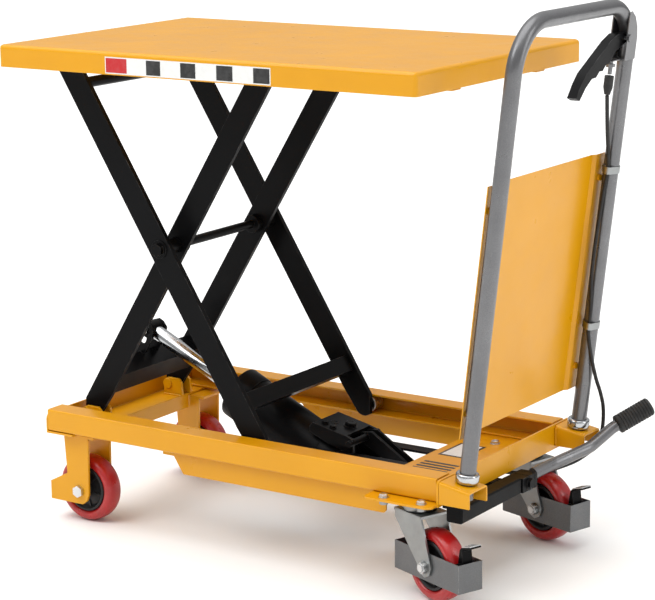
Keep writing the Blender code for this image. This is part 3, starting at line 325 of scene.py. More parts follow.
def polyurethane():
    """Cast red tyre: translucent sheen, scuffed tread and a faint mottling."""
    g = Graph("red_polyurethane", Specular_IOR_Level=0.55, Coat_Weight=0.25, Coat_Roughness=0.3)
    mottle = g.span(g.noise(45.0, 5.0), 0.35, 0.72, 0.0, 0.6)
    colour = g.blend(mottle, (0.44, 0.005, 0.006), (0.29, 0.003, 0.005))
    scuff = g.span(g.noise(260.0, 6.0, 0.75), 0.56, 0.74, 0.0, 0.28)
    colour = g.blend(scuff, colour, (0.60, 0.12, 0.10))
    roughness = g.span(g.noise(90.0, 5.0), 0.3, 0.7, 0.24, 0.42)
    return g.finish(colour, roughness, g.noise(420.0, 4.0), 0.0003, 0.25)


def moulded(name, base, light, rough, grain, strength):
    """Moulded plastic or rubber with a fine grain and dusty high spots."""
    g = Graph(name, Specular_IOR_Level=0.4)
    dust = g.span(g.noise(55.0, 6.0, 0.7), 0.5, 0.78, 0.0, 0.5)
    colour = g.blend(dust, base, light)
    roughness = g.span(g.noise(70.0, 5.0), 0.3, 0.7, rough - 0.06, rough + 0.1)
    return g.finish(colour, roughness, g.cells(grain), 0.0003, strength)


YELLOW = paint(
    "yellow_paint",
    base=(0.70, 0.318, 0.001),
    dark=(0.60, 0.262, 0.001),
    edge_wear_and_highlight=(0.40, 0.30, 0.14),
    rough=0.32,
    gloss=0.15,
    peel=260.0,
    edge_wear_and_highlight_strength=0.30,
    specular=0.3,
)
BLACK = paint(
    "black_paint",
    base=(0.0045, 0.0045, 0.005),
    dark=(0.003, 0.003, 0.003),
    # light edge colour and its strength: partly wear, partly a painted highlight on the satin
    # edges
    edge_wear_and_highlight=(0.14, 0.14, 0.14),
    rough=0.34,
    gloss=0.0,
    peel=420.0,
    edge_wear_and_highlight_strength=0.65,
    specular=0.07,
)
GREY = hammered("grey_paint", (0.150, 0.150, 0.155), (0.095, 0.095, 0.10), 0.75, 0.32)
GUARD = hammered("guard_sheet", (0.115, 0.118, 0.122), (0.07, 0.072, 0.075), 0.6, 0.38)
ZINC = plated("zinc_plate", (0.66, 0.67, 0.68), (0.52, 0.53, 0.52), 0.30, 0.12)
CHROME = plated("chrome_plate", (0.50, 0.51, 0.52), (0.34, 0.35, 0.36), 0.15, 0.08)
DULL_ZINC = plated("zinc_passivated", (0.33, 0.34, 0.34), (0.24, 0.245, 0.24), 0.34, 0.14)
RED = polyurethane()
NYLON = moulded("black_nylon", (0.008, 0.008, 0.009), (0.035, 0.034, 0.033), 0.42, 900.0, 0.15)
RUBBER = moulded("black_rubber", (0.012, 0.012, 0.012), (0.05, 0.048, 0.046), 0.55, 1400.0, 0.3)


# ---- mesh helpers ----------------------------------------------------------------------
def place_piece(name, bm, material, body, smooth=35.0, replaces=()):
    """Turns a bmesh into a piece that rides on a body."""
    bmesh.ops.recalc_face_normals(bm, faces=bm.faces)
    mesh = bpy.data.meshes.new(name)
    bm.to_mesh(mesh)
    bm.free()
    mesh.shade_smooth()
    mesh.set_sharp_from_angle(angle=math.radians(smooth))
    mesh.materials.append(material)
    obj = bpy.data.objects.new(name, mesh)
    bpy.context.scene.collection.objects.link(obj)
    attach(obj, body)
    if replaces:
        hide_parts(*replaces)
    return obj


def soften(obj, width, segments=2, angle=33.0):
    """Rounds the sharp edges of a piece so that they catch the light."""
    bevel = obj.modifiers.new("edge", "BEVEL")
    bevel.width = width
    bevel.segments = segments
    bevel.limit_method = "ANGLE"
    bevel.angle_limit = math.radians(angle)
    bevel.use_clamp_overlap = True
    bevel.miter_outer = "MITER_ARC"
    normals = obj.modifiers.new("normals", "WEIGHTED_NORMAL")
    normals.keep_sharp = True
    normals.weight = 90
    return obj


def skin(node, material, width=EDGE_SOFT, angle=33.0):
    """A finished piece in the shape of a CAD node, with every pressed or cut edge rounded."""
    source = NODES[node]
    bm = bmesh.new()
    bm.from_mesh(source.data)
    bmesh.ops.remove_doubles(bm, verts=bm.verts, dist=1e-5)
    bmesh.ops.dissolve_limit(bm, angle_limit=math.radians(0.6), verts=bm.verts, edges=bm.edges)
    obj = place_piece(node + "_skin", bm, material, source["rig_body"], 60.0, (node,))
    return soften(obj, width, 2, angle)


def lathe(profile, origin, axis, steps, closed=True):
    """Turns (radius, height) points about an axis through an origin."""
    axis = Vector(axis).normalized()
    across = axis.orthogonal().normalized()
    third = axis.cross(across)
    bm = bmesh.new()
    rings = []
    for radius, height in profile:
        ring = []
        for k in range(steps):
            turn = 2 * math.pi * k / steps
            way = math.cos(turn) * across + math.sin(turn) * third
            ring.append(bm.verts.new(Vector(origin) + axis * height + radius * way))
        rings.append(ring)
    pairs = list(zip(rings, rings[1:]))
    if closed:
        pairs.append((rings[-1], rings[0]))
    for low, high in pairs:
        for k in range(steps):
            j = (k + 1) % steps
            bm.faces.new((low[k], low[j], high[j], high[k]))
    if not closed:
        bm.faces.new(rings[0])
        bm.faces.new(rings[-1])
    return bm


def sweep(points, radius, steps, wobble=None):
    """A round bar along points; wobble changes its radius along the way."""
    points = [Vector(p) for p in points]
    ends = [points[0], *points, points[-1]]
    tangents = [(after - before).normalized() for before, after in zip(ends, ends[2:])]
    normal = tangents[0].orthogonal().normalized()
    bm = bmesh.new()
    rings = []
    for i, here in enumerate(points):
        if i:
            normal = tangents[i - 1].rotation_difference(tangents[i]) @ normal
        side = tangents[i].cross(normal)
        out = radius if wobble is None else radius * wobble(i)
        ring = []
        for k in range(steps):
            turn = 2 * math.pi * k / steps
            way = math.cos(turn) * normal + math.sin(turn) * side
            ring.append(bm.verts.new(here + out * way))
        rings.append(ring)
    for low, high in zip(rings, rings[1:]):
        for k in range(steps):
            j = (k + 1) % steps
            bm.faces.new((low[k], low[j], high[j], high[k]))
    bm.faces.new(rings[0])
    bm.faces.new(rings[-1])
    return bm


def merge(first, second):
    """Adds the second bmesh to the first."""
    mesh = bpy.data.meshes.new("part")
    second.to_mesh(mesh)
    second.free()
    first.from_mesh(mesh)
    bpy.data.meshes.remove(mesh)
    return first


def block(low, high):
    """A box between two corners."""
    bm = bmesh.new()
    bmesh.ops.create_cube(bm, size=1.0)
    low, high = Vector(low), Vector(high)
    place = Matrix.Translation((low + high) / 2) @ Matrix.Diagonal(high - low).to_4x4()
    bmesh.ops.transform(bm, matrix=place, verts=bm.verts)
    return bm


def fillet_path(corners, radius, steps):
    """Rounds the corners of a polyline."""
    corners = [Vector(c) for c in corners]
    out = [corners[0]]
    for a, b, c in zip(corners, corners[1:], corners[2:]):
        to_a = (a - b).normalized()
        to_c = (c - b).normalized()
        half = to_a.angle(to_c) / 2
        reach = min(radius / math.tan(half), 0.48 * min((a - b).length, (c - b).length))
        bend = reach * math.tan(half)
        centre = b + (to_a + to_c).normalized() * (bend / math.sin(half))
        start = (b + to_a * reach - centre).normalized()
        stop = (b + to_c * reach - centre).normalized()
        out += [centre + bend * start.slerp(stop, k / steps) for k in range(steps + 1)]
    out.append(corners[-1])
    return out


def smooth_curve(points, per_span):
    """Catmull-Rom points through the given ones."""
    pts = [Vector(p) for p in points]
    pts = [pts[0] * 2 - pts[1]] + pts + [pts[-1] * 2 - pts[-2]]
    out = []
    for p0, p1, p2, p3 in zip(pts, pts[1:], pts[2:], pts[3:]):
        for k in range(per_span):
            t = k / per_span
            straight = 2 * p1 + (p2 - p0) * t
            bent = (2 * p0 - 5 * p1 + 4 * p2 - p3) * t * t
            turned = (3 * p1 - p0 - 3 * p2 + p3) * t * t * t
            out.append(0.5 * (straight + bent + turned))
    out.append(pts[-2])
    return out


# ---- fasteners and welds ---------------------------------------------------------------
def hex_bolt(name, foot, axis, across, material, body):
    """Hexagon head with a chamfered top, a dished centre and a washer under it."""
    axis = Vector(axis).normalized()
    r = across / math.sqrt(3)
    height = 0.372 * across
    profile = [(r, 0.0), (r, 0.8 * height), (0.86 * r, height), (0.5 * r, height)]
    profile.append((0.45 * r, 0.92 * height))
    bm = lathe(profile, Vector(foot) + axis * WASHER, axis, 6, False)
    soften(place_piece(name, bm, material, body, 25.0), 0.0003)
    profile = [(0.35 * r, 0.0), (1.22 * r, 0.0), (1.22 * r, WASHER), (0.35 * r, WASHER)]
    ring = lathe(profile, foot, axis, 32)
    soften(place_piece(name + "_washer", ring, material, body, 35.0), 0.0002)


def hand_ripple(i):
    """Relative radius of a hand-laid bead at its i-th step."""
    return 0.9 + 0.16 * math.sin(1.9 * i) + 0.05 * math.sin(0.7 * i)


def round_ripple(i):
    """Relative radius of a machine-laid ring bead at its i-th step."""
    return 0.9 + 0.15 * math.sin(2.1 * i)


def weld(name, points, radius, material, body):
    """A bead laid along points, with the ripple of a hand-fed weld."""
    path = []
    corners = [Vector(p) for p in points]
    for a, b in zip(corners, corners[1:]):
        count = max(int((b - a).length / (0.6 * radius)), 2)
        path += [a.lerp(b, k / count) for k in range(count)]
    path.append(corners[-1])
    bm = sweep(path, radius, 10, hand_ripple)
    return place_piece(name, bm, material, body, 80.0)


# ---- wheels ----------------------------------------------------------------------------
def tyre_profile():
    """Half section of the tyre as (radius, height), with a crowned tread."""
    h = WHEEL_HALF
    side = [(0.0350, h - 0.0030), (0.0372, h - 0.0006), (0.0385, h), (0.0430, h)]
    side.append((0.0462, h - 0.0014))
    side += [(0.0484, h - 0.0042), (0.0495, h - 0.0080), (WHEEL_R - 0.0001, h - 0.0118)]
    return side + [(WHEEL_R, 0.0)] + [(r, -z) for r, z in reversed(side)]


def hub_profile(boss):
    """Half section of the core as (radius, height), with a boss and a dished web."""
    h = WHEEL_HALF
    side = [(0.0060, h + boss), (0.0104, h + boss), (0.0112, h + boss - 0.0008)]
    side.append((0.0125, h - 0.0010))
    side += [(0.0130, h - 0.0042), (0.0200, h - 0.0056), (0.0268, h - 0.0056)]
    side += [(0.0286, h - 0.0040), (0.0300, h - 0.0012), (0.0318, h - 0.0004)]
    side += [(0.0338, h - 0.0010), (0.0349, h - 0.0030)]
    return side + [(r, -z) for r, z in reversed(side)]


def make_wheel(body, tyre, hub, boss):
    """Cast tyre on a dished core, with a plated bearing sleeve in the boss."""
    centre, axis = wheel_axis(body)
    cast = lathe(tyre_profile(), centre, axis, 128)
    place_piece(tyre + "_cast", cast, RED, body, 50.0, (tyre,))
    core = lathe(hub_profile(boss), centre, axis, 96)
    place_piece(hub + "_core", core, NYLON, body, 50.0, (hub,))
    ring = WHEEL_HALF + boss + 0.0001
    low, high = ring - 0.0030, ring - 0.0002
    for tag, way in (("near", 1), ("far", -1)):
        profile = [(0.0062, low), (0.0092, low), (0.0092, high), (0.0062, high)]
        bm = lathe(profile, centre, axis * way, 48)
        soften(place_piece(f"{hub}_bearing_{tag}", bm, ZINC, body, 40.0), 0.0003)
    make_ribs(hub, body, centre, axis)


def make_ribs(hub, body, centre, axis):
    """Six thin ribs on each side of a hub's web."""
    ribs = bmesh.new()
    across = axis.orthogonal().normalized()
    for k in range(6):
        turn = Matrix.Rotation(math.radians(60 * k), 4, axis)
        for way in (1, -1):
            rib = block((0.0128, -0.0011, 0.0), (0.0285, 0.0011, 0.0022))
            out = axis * way
            basis = Matrix((across, out.cross(across), out)).transposed().to_4x4()
            foot = Matrix.Translation(centre + out * (WHEEL_HALF - 0.0058))
            bmesh.ops.transform(rib, matrix=foot @ turn @ basis, verts=rib.verts)
            ribs = merge(ribs, rib)
    soften(place_piece(hub + "_ribs", ribs, NYLON, body, 35.0), 0.0005)


def make_wheels():
    """The two fixed front wheels and the two caster wheels."""
    for name, _ in SIDES:
        for stem, boss in (("front", 0.0038), ("caster", 0.0028)):
            tyre, hub = f"{stem}_tyre_{name}", f"{stem}_hub_{name}"
            make_wheel(f"{stem}_wheel_{name}", tyre, hub, boss)


def ease_hole(obj, old, new):
    """Opens the release lever's hole, which runs along X, so the lever turns clear of its pin."""
    _, y, z = JOINTS["release_lever_body"]["pos_m"]
    for vert in obj.data.vertices:
        offset = Vector((0.0, vert.co.y - y, vert.co.z - z))
        if offset.length < old:
            vert.co += offset.normalized() * (new - offset.length)


# ---- sheet and bar parts that keep their CAD shape -------------------------------------
SKINNED = (
    (
        YELLOW,
        ("platform_top", "front_cross_member", "rear_deck", "guard_panel"),
        ("base_rail_", "roller_channel_", "handle_socket_", "arm_clevis_", "front_fork_"),
    ),
    (
        BLACK,
        ("inner_cross_member", "rear_cross_bar", "pump_housing", "pedal_lever", "release_lever"),
        ("inner_arm_", "outer_arm_", "caster_brake_"),
    ),
    (GREY, ("release_bracket",), ()),
    (DULL_ZINC, ("cable_clip_upper", "cable_clip_lower"), ()),
    (ZINC, (), ("front_axle_",)),
    (DULL_ZINC, (), ("caster_plate_", "caster_fork_")),
    (GUARD, (), ("caster_guard_",)),
)


def make_skins():
    """Every sheet and bar part in its finish: single parts first, then the mirrored ones."""
    for material, single, paired in SKINNED:
        nodes = [*single, *(stem + name for name, _ in SIDES for stem in paired)]
        for node in nodes:
            finished = skin(node, material)
            if node == "release_lever":
                ease_hole(finished, LEVER_HOLE, LEVER_HOLE_EASED)


def make_round_bars():
    """Shafts and ties with softened edges, and rollers turned again with fine steps."""
    for node in ("outer_cross_beam", "outer_upper_tie", "scissor_centre_shaft"):
        skin(node, BLACK, 0.0005, 35.0)
    for stem in ("top_roller_", "base_roller_"):
        for name, _ in SIDES:
            node, body = stem + name, f"{stem}body_{name}"
            low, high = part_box(node)
            centre, axis = wheel_axis(body)
            half = (high.y - low.y) / 2
            radius = (high.x - low.x) / 2
            centre.y = (high.y + low.y) / 2
            edge = 0.0010
            profile = [(0.0085, -half), (radius - edge, -half), (radius, -half + edge)]
            profile += [(radius, half - edge), (radius - edge, half), (0.0085, half)]
            bm = lathe(profile, centre, axis, 64)
            soften(place_piece(node + "_turned", bm, ZINC, body, 35.0, (node,)), 0.0004)


# ---- handle, panel and lever -----------------------------------------------------------
def make_handle():
    """The bent tube of the push handle and the plated collar on each of its legs."""
    turns = ((-1, HANDLE_FOOT), (-1, HANDLE_TOP), (1, HANDLE_TOP), (1, HANDLE_FOOT))
    corners = [handle_point(side, z) for side, z in turns]
    bm = sweep(fillet_path(corners, HANDLE_BEND, 20), HANDLE_R, 48)
    place_piece("push_handle_tube", bm, GREY, "base", 50.0, ("push_handle",))
    bore = HANDLE_R + 0.0002
    for name, side in SIDES:
        node = "handle_collar_" + name
        axis = handle_point(side, HANDLE_TOP) - handle_point(side, HANDLE_Z)
        profile = [(bore, 0.0), (0.0150, 0.0), (0.0158, 0.0010), (0.0160, 0.0040)]
        profile += [(0.0160, 0.0105), (0.0152, 0.0122), (0.0140, 0.0129), (bore, 0.0129)]
        bm = lathe(profile, handle_point(side, COLLAR_Z), axis, 64)
        place_piece(node + "_turned", bm, CHROME, "base", 40.0, (node,))


def make_pedal():
    """The bent pedal tube and its ribbed rubber grip."""
    path = fillet_path([at(p) for p in PEDAL_PATH], PEDAL_BEND, 12)
    path[0] = path[0] + (path[1] - path[0]).normalized() * 0.0145
    end = at(PEDAL_PATH[-1])
    bend = at(PEDAL_PATH[-2])
    path[-1] = end + (bend - end).normalized() * 0.0045
    tube = sweep(path, PEDAL_TUBE_R, 40)
    place_piece("pedal_tube_bent", tube, GREY, "pedal", 50.0, ("pedal_tube",))
    way = (end - bend).normalized()
    start = bend + way * GRIP_START
    length = (end - start).length
    profile = [(0.0087, 0.0), (0.0112, 0.0), (0.0130, 0.0008), (GRIP_R, 0.0022)]
    first, last = 0.0040, length - 0.0045
    step = (last - first) / GRIP_RIBS
    for k in range(GRIP_RIBS):
        z = first + k * step
        profile += [(GRIP_R, z), (GRIP_R, z + 0.55 * step)]
        profile += [(GRIP_GROOVE_R, z + 0.65 * step), (GRIP_GROOVE_R, z + 0.92 * step)]
    profile += [(GRIP_R, last), (0.0134, length - 0.0016), (0.0118, length)]
    profile += [(0.0020, length), (0.0, length - 0.0004)]
    bm = lathe(profile, start, way, 48, False)
    place_piece("pedal_grip_ribbed", bm, RUBBER, "pedal", 40.0, ("pedal_grip",))


def along_rod(distance):
    """A point on the cylinder's axis, from its lower pivot towards the rod's."""
    a = at((CYL_PIVOT[0], 0, CYL_PIVOT[1]))
    b = at((ROD_PIVOT[0], 0, ROD_PIVOT[1]))
    return a + (b - a).normalized() * distance


def make_cylinder():
    """Barrel with end caps, bore, pivot eye, neck and ring welds."""
    axis = along_rod(1) - along_rod(0)
    barrel = [(0.0350, 0.0182), (0.0390, 0.0205), (0.0399, 0.0230), (0.0399, 0.0515)]
    barrel += [(0.0392, 0.0532), (0.0379, 0.0540), (0.0379, 0.1900), (0.0392, 0.1908)]
    barrel += [(0.0399, 0.1925), (0.0399, 0.2180), (0.0392, 0.2204), (0.0370, 0.2214)]
    barrel += [(0.0220, 0.2216), (0.0210, 0.2240), (0.0200, 0.2258), (BORE_R, 0.2258)]
    barrel += [(BORE_R, 0.2262), (BORE_R, BORE_FLOOR), (0.0, BORE_FLOOR), (0.0, 0.0185)]
    bm = lathe(barrel, along_rod(0), axis, 96)
    place_piece("pump_cylinder_barrel", bm, BLACK, "cylinder", 32.0, ("pump_cylinder",))
    pivot = at((CYL_PIVOT[0], 0, CYL_PIVOT[1]))
    eye = [(0.0, -0.0430), (0.0073, -0.0430), (0.0150, -0.0430), (0.0165, -0.0415)]
    eye += [(0.0165, 0.0415), (0.0150, 0.0430), (0.0073, 0.0430), (0.0, 0.0430)]
    bm = lathe(eye, pivot, (0, 1, 0), 64, False)
    place_piece("pump_cylinder_eye", bm, BLACK, "cylinder", 35.0)
    turn = axis.to_track_quat("Z", "Y").to_matrix()
    neck = block((-0.0240, -0.0130, 0.0020), (0.0240, 0.0130, 0.0260))
    place = Matrix.Translation(along_rod(0)) @ turn.to_4x4()
    bmesh.ops.transform(neck, matrix=place, verts=neck.verts)
    soften(place_piece("pump_cylinder_neck", neck, BLACK, "cylinder", 35.0), 0.0020, 3)
    steps = 90
    angles = [2 * math.pi * k / steps for k in range(steps + 1)]
    rim = [turn @ (0.0383 * Vector((math.cos(a), math.sin(a), 0))) for a in angles]
    for tag, height in (("foot", 0.0534), ("mouth", 0.1906)):
        bm = sweep([along_rod(height) + point for point in rim], 0.0014, 10, round_ripple)
        place_piece("pump_cylinder_weld_" + tag, bm, BLACK, "cylinder", 80.0)


def make_piston():
    """Ground rod, its eye and cross pin, and the seal it slides through."""
    start = along_rod(0)
    axis = along_rod(1) - start
    pivot = at((ROD_PIVOT[0], 0, ROD_PIVOT[1]))
    reach = (pivot - start).length
    profile = [(0.0, 0.1700), (0.0114, 0.1700), (0.0115, 0.1800), (0.0115, reach - 0.014)]
    profile += [(0.0100, reach - 0.010), (0.0, reach - 0.008)]
    bm = lathe(profile, start, axis, 64, False)
    place_piece("piston_rod_ground", bm, CHROME, "piston", 35.0, ("piston_rod",))
    eye = [(0.0, -0.0120), (0.0120, -0.0120), (0.0130, -0.0110), (0.0130, 0.0110)]
    eye += [(0.0120, 0.0120), (0.0, 0.0120)]
    bm = lathe(eye, pivot, (0, 1, 0), 64, False)
    place_piece("piston_rod_eye", bm, BLACK, "piston", 35.0)
    pin = [(0.0, -0.0210), (0.0044, -0.0210), (0.0050, -0.0204), (0.0050, 0.0204)]
    pin += [(0.0044, 0.0210), (0.0, 0.0210)]
    bm = lathe(pin, pivot, (0, 1, 0), 32, False)
    place_piece("piston_rod_pin", bm, ZINC, "piston", 35.0)
    lip = [(0.0117, 0.2262), (0.0165, 0.2262), (0.0158, 0.2284), (0.0124, 0.2290)]
    bm = lathe(lip, start, axis, 64)
    place_piece("cylinder_wiper_seal", bm, RUBBER, "cylinder", 35.0)


# ---- cable -----------------------------------------------------------------------------
def make_cable():
    """Release cable from the lever's adjuster, down the right leg, to the pump."""
    points = smooth_curve([at(p) for p in CABLE_POINTS], 4)
    bm = sweep(points, CABLE_R, 20)
    cable = place_piece("release_cable_sheath", bm, RUBBER, "base", 60.0, ("release_cable",))
    skin("cable_boot", RUBBER, 0.0005)


# ---- labels and small fittings ---------------------------------------------------------
def sticker(name, look, body, corners, lift, thick=0.0003):
    """A thin plate between four corners, raised from its surface."""
    lift = Vector(lift).normalized()
    bm = bmesh.new()
    low = [bm.verts.new(Vector(c)) for c in corners]
    high = [bm.verts.new(Vector(c) + lift * thick) for c in corners]
    bm.faces.new(low)
    bm.faces.new(high)
    for k in range(4):
        j = (k + 1) % 4
        bm.faces.new((low[k], low[j], high[j], high[k]))
    return place_piece(name, bm, look, body, 30.0)


def vinyl(name, base):
    """Plain printed film with a little dust."""
    g = Graph(name, Specular_IOR_Level=0.45)
    dust = g.span(g.noise(120.0, 5.0), 0.4, 0.75, 0.0, 0.25)
    colour = g.blend(dust, base, tuple(0.6 * c + 0.12 for c in base))
    rough = g.span(g.noise(60.0, 4.0), 0.3, 0.7, 0.25, 0.4)
    return g.finish(colour, rough, g.noise(500.0, 2.0), 0.0002, 0.1)


def make_labels():
    """Plain colour strip on the platform's skirt, and a plate and hatching on the deck."""
    white = vinyl("vinyl_white", (0.78, 0.78, 0.76))
    black = vinyl("vinyl_black", (0.012, 0.012, 0.012))
    red = vinyl("vinyl_red", (0.50, 0.010, 0.014))
    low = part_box("platform_top")[0]
    y = low.y
    x0 = low.x + 0.1955
    z0, z1 = low.z + 0.0030, low.z + 0.0262
    widths = (0.0365, 0.0340, 0.0243, 0.0344, 0.0253, 0.0351, 0.0267, 0.0340, 0.0263)
    total = sum(widths) + 0.0030
    back = [(x0, y, z0), (x0 + total, y, z0), (x0 + total, y, z1), (x0, y, z1)]
    sticker("skirt_strip_back", white, "platform", back, (0, -1, 0), 0.0002)
    low_edge, high_edge = z0 + 0.0016, z1 - 0.0016
    x = x0 + 0.0015
    for k, width in enumerate(widths):
        if k % 2 == 0:
            far = x + width
            cell = [(x, y, low_edge), (far, y, low_edge), (far, y, high_edge), (x, y, high_edge)]
            look = black if k else red
            sticker(f"skirt_strip_cell_{k}", look, "platform", cell, (0, -1, 0), 0.0004)
        x += width
    make_deck_labels(white, black)


def deck_top():
    """Height of the rear deck's upper face."""
    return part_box("rear_deck")[0].z + SHEET


def deck_label(name, look, x_span, y_span, thick):
    """A flat label on the deck, between two X and two Y values of the drawing."""
    z = deck_top()
    a, b = (at((x, y, z)) for x, y in zip(x_span, y_span))
    corners = [(a.x, a.y, z), (b.x, a.y, z), (b.x, b.y, z), (a.x, b.y, z)]
    sticker(name, look, "base", corners, (0, 0, 1), thick)


def make_deck_labels(white, black):
    """A blank bordered plate and four plain bars."""
    deck_label("deck_plate_border", black, (0.235, 0.277), (0.019, 0.085), 0.0003)
    deck_label("deck_plate_face", white, (0.239, 0.273), (0.023, 0.081), 0.0005)
    for k in range(4):
        y0 = -0.054 + 0.011 * k
        deck_label(f"deck_hatch_{k}", black, (0.236, 0.292), (y0, y0 + 0.0055), 0.0003)


def make_fasteners():
    """Bolts that hold the caster plates, through the deck."""
    z = deck_top()
    spots = ((0.278, 0.193), (0.337, 0.193), (0.2785, 0.108), (0.3365, 0.108))
    for name, side in SIDES:
        for k, (x, y) in enumerate(spots):
            foot = at((x, side * y, z))
            hex_bolt(f"deck_bolt_{name}_{k}", foot, (0, 0, 1), 0.0105, ZINC, "base")


def make_caster_nuts():
    """Bright lock nuts and axle ends outside the fork cheeks."""
    r = 0.01525 / math.sqrt(3)
    nut = [(r, 0.0237), (r, 0.0282), (0.88 * r, 0.0299), (0.0066, 0.0302)]
    nut += [(0.0062, 0.0290), (0.0, 0.0290)]
    stud = [(0.0057, 0.0285), (0.0057, 0.0308), (0.0049, 0.0315), (0.0, 0.0315)]
    for name, _ in SIDES:
        body = "caster_swivel_" + name
        centre, axis = wheel_axis("caster_wheel_" + name)
        for tag, way in (("near", -1), ("far", 1)):
            out = axis * way
            bm = lathe(nut, centre, out, 6, False)
            soften(place_piece(f"caster_nut_{name}_{tag}", bm, ZINC, body, 25.0), 0.0003)
            bm = lathe(stud, centre, out, 40, False)
            place_piece(f"caster_stud_{name}_{tag}", bm, ZINC, body, 35.0)


def pump_top(x, y, sunk):
    """A point on the sloping top of the pump, sunk a little into it."""
    return at((x, y, PUMP_TOP_Z - PUMP_SLOPE * (x - PUMP_TOP_X) - sunk))


def make_pump_fittings():
    """Cap screws, a blind plug and the valve nut on the sloping top of the pump."""
    lean = math.radians(PUMP_LEAN)
    up = Vector((math.sin(lean), 0, math.cos(lean)))
    spots = (
        ("front", 0.0680, -0.0200, 0.0085),
        ("rear", 0.0840, -0.0240, 0.0085),
        ("valve", 0.0960, 0.0040, 0.0150),
    )
    for tag, x, y, across in spots:
        hex_bolt("pump_" + tag, pump_top(x, y, 0.0003), up, across, BLACK, "base")
    plug = [(0.0040, 0.0), (0.0062, 0.0), (0.0062, 0.0009), (0.0056, 0.0013)]
    plug += [(0.0046, 0.0013), (0.0040, 0.0006)]
    bm = lathe(plug, pump_top(0.0740, -0.0040, 0.0004), up, 48)
    place_piece("pump_plug", bm, BLACK, "base", 35.0)


def make_brake_tabs():
    """Plated tread folded over the tab of each brake lever, with a raised rib."""
    for name, _ in SIDES:
        centre, axis = wheel_axis("caster_wheel_" + name)
        along = axis.cross(Vector((0, 0, 1)))
        basis = Matrix((along, axis, Vector((0, 0, 1)))).transposed().to_4x4()
        hub_low = centre.copy()
        hub_low.z = 0.0
        low = Vector((TAB_START - TRAIL, 0, TREAD_LOW))
        high = Vector((TAB_END - TRAIL, 0, TREAD_HIGH))
        length = (high - low).length
        bm = block((0.0, -0.0095, -0.0002), (length, 0.0095, 0.0010))
        for y in (-0.0048, 0.0, 0.0048):
            rib = block((0.003, y - 0.0009, 0.0009), (length - 0.002, y + 0.0009, 0.0017))
            bm = merge(bm, rib)
        slope = Matrix.Rotation(-math.atan2(high.z - low.z, high.x - low.x), 4, "Y")
        place = Matrix.Translation(hub_low) @ basis @ Matrix.Translation(low) @ slope
        bmesh.ops.transform(bm, matrix=place, verts=bm.verts)
        tread = place_piece("brake_tread_" + name, bm, ZINC, "caster_brake_body_" + name)
        soften(tread, 0.0003)


def make_welds():
    """Beads where the sockets, flange and clevises meet the frame."""
    top = deck_top()
    for name, side in SIDES:
        low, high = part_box("arm_clevis_" + name)
        edge = low.y if side > 0 else high.y
        inner = [(low.x + 0.002, edge, top + 0.0006), (high.x - 0.002, edge, top + 0.0006)]
        weld("clevis_weld_" + name, inner, 0.0016, YELLOW, "base")
        low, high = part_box("handle_socket_" + name)
        inside = low.y if side > 0 else high.y
        x = low.x + 0.0012
        seam = [(x, inside, high.z - 0.004), (x, inside, low.z + 0.001)]
        weld("socket_weld_" + name, seam, 0.0015, YELLOW, "base")
        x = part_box("base_rail_" + name)[0].x + 0.0010
        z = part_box("front_cross_member")[1].z + SHEET
        seam = [(x, side * 0.1447, z), (x, side * 0.172, z)]
        weld("corner_weld_" + name, seam, 0.0014, YELLOW, "base")


# ---- studio ----------------------------------------------------------------------------
def make_stage():
    """Pale floor and a soft white surround."""
    bm = bmesh.new()
    bmesh.ops.create_grid(bm, x_segments=2, y_segments=2, size=FLOOR_HALF)
    mesh = bpy.data.meshes.new("studio_floor")
    bm.to_mesh(mesh)
    bm.free()
    floor = bpy.data.objects.new("studio_floor", mesh)
    floor.location.z = FLOOR_Z
    bpy.context.scene.collection.objects.link(floor)
    material = bpy.data.materials.new("studio_floor")
    material.use_nodes = True
    shader = material.node_tree.nodes["Principled BSDF"]
    shader.inputs["Base Color"].default_value = (0.93, 0.93, 0.92, 1)
    shader.inputs["Roughness"].default_value = 0.9
    shader.inputs["Specular IOR Level"].default_value = 0.1
    floor.data.materials.append(material)
    world = bpy.context.scene.world or bpy.data.worlds.new("studio")
    bpy.context.scene.world = world
    world.use_nodes = True
    light_world(world.node_tree)


def light_world(tree):
    """White to the eye; for the lighting it dims from the zenith towards the horizon."""
    background = tree.nodes["Background"]
    direction = tree.nodes.new("ShaderNodeTexCoord")
    parts = tree.nodes.new("ShaderNodeSeparateXYZ")
    fade = tree.nodes.new("ShaderNodeMapRange")
    for socket, number in zip(SPAN_SOCKETS, (0.0, 0.85, SKY_LOW, SKY_HIGH)):
        fade.inputs[socket].default_value = number
    seen = tree.nodes.new("ShaderNodeLightPath")
    choice = tree.nodes.new("ShaderNodeMix")
    choice.inputs["B"].default_value = 1.0
    tree.links.new(direction.outputs["Generated"], parts.inputs[0])
    tree.links.new(parts.outputs["Z"], fade.inputs["Value"])
    tree.links.new(seen.outputs["Is Camera Ray"], choice.inputs["Factor"])
    tree.links.new(fade.outputs["Result"], choice.inputs["A"])
    tree.links.new(choice.outputs["Result"], background.inputs["Strength"])
    background.inputs["Color"].default_value = (1.0, 1.0, 1.0, 1)


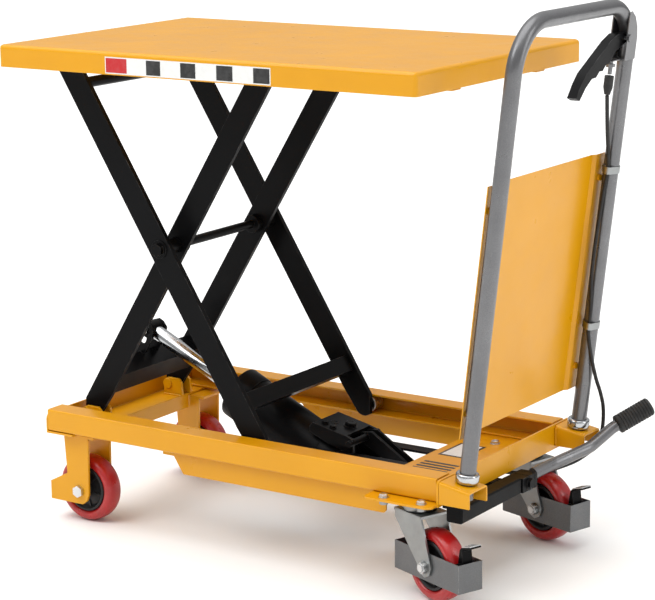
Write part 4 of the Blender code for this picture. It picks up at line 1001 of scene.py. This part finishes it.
def softbox(name, place, target, size, power):
    """A rectangular area light at a place, aimed at a target."""
    light = bpy.data.lights.new(name, "AREA")
    light.shape = "RECTANGLE"
    light.size, light.size_y = size
    light.energy = power
    obj = bpy.data.objects.new(name, light)
    obj.location = place
    obj.rotation_euler = (Vector(target) - Vector(place)).to_track_quat("-Z", "Y").to_euler()
    bpy.context.scene.collection.objects.link(obj)


def make_lights():
    """Two soft side lights and a very soft overhead light."""
    softbox("key_light", (-1.2, -2.2, 2.6), (0, 0, 0.4), (1.8, 1.2), 22)
    softbox("right_light", (2.6, 0.4, 1.4), (0, 0, 0.4), (0.8, 1.8), 14)
    overhead = bpy.data.lights.new("overhead_light", "SUN")
    overhead.energy = 2.1
    overhead.angle = math.radians(70)
    obj = bpy.data.objects.new("overhead_light", overhead)
    obj.rotation_euler = (math.radians(8), math.radians(-10), 0)
    bpy.context.scene.collection.objects.link(obj)


def make_camera():
    """Camera at the viewing angle, built from its backward, right and up axes."""
    azimuth = math.radians(CAMERA_AZIMUTH)
    tilt = math.radians(CAMERA_ELEVATION)
    roll = math.radians(CAMERA_ROLL)
    level = Vector((math.sin(azimuth), -math.cos(azimuth), 0))
    back = math.cos(tilt) * level + math.sin(tilt) * Vector((0, 0, 1))
    right = (-back).cross(Vector((0, 0, 1))).normalized()
    up = right.cross(-back)
    turned_right = math.cos(roll) * right + math.sin(roll) * up
    turned_up = -math.sin(roll) * right + math.cos(roll) * up
    data = bpy.data.cameras.new("camera")
    data.lens = CAMERA_LENS
    data.sensor_width = SENSOR_WIDTH
    data.sensor_fit = "HORIZONTAL"
    camera = bpy.data.objects.new("camera", data)
    axes = Matrix((turned_right, turned_up, back)).transposed().to_4x4()
    camera.matrix_world = Matrix.Translation(CAMERA_PLACE) @ axes
    bpy.context.scene.collection.objects.link(camera)
    bpy.context.scene.camera = camera
    bpy.context.scene.view_settings.view_transform = "Standard"


make_camera()
make_cable()
make_skins()
make_round_bars()
make_wheels()
make_handle()
make_pedal()
make_cylinder()
make_piston()
make_labels()
make_fasteners()
make_caster_nuts()
make_pump_fittings()
make_brake_tabs()
make_welds()
make_stage()
make_lights()
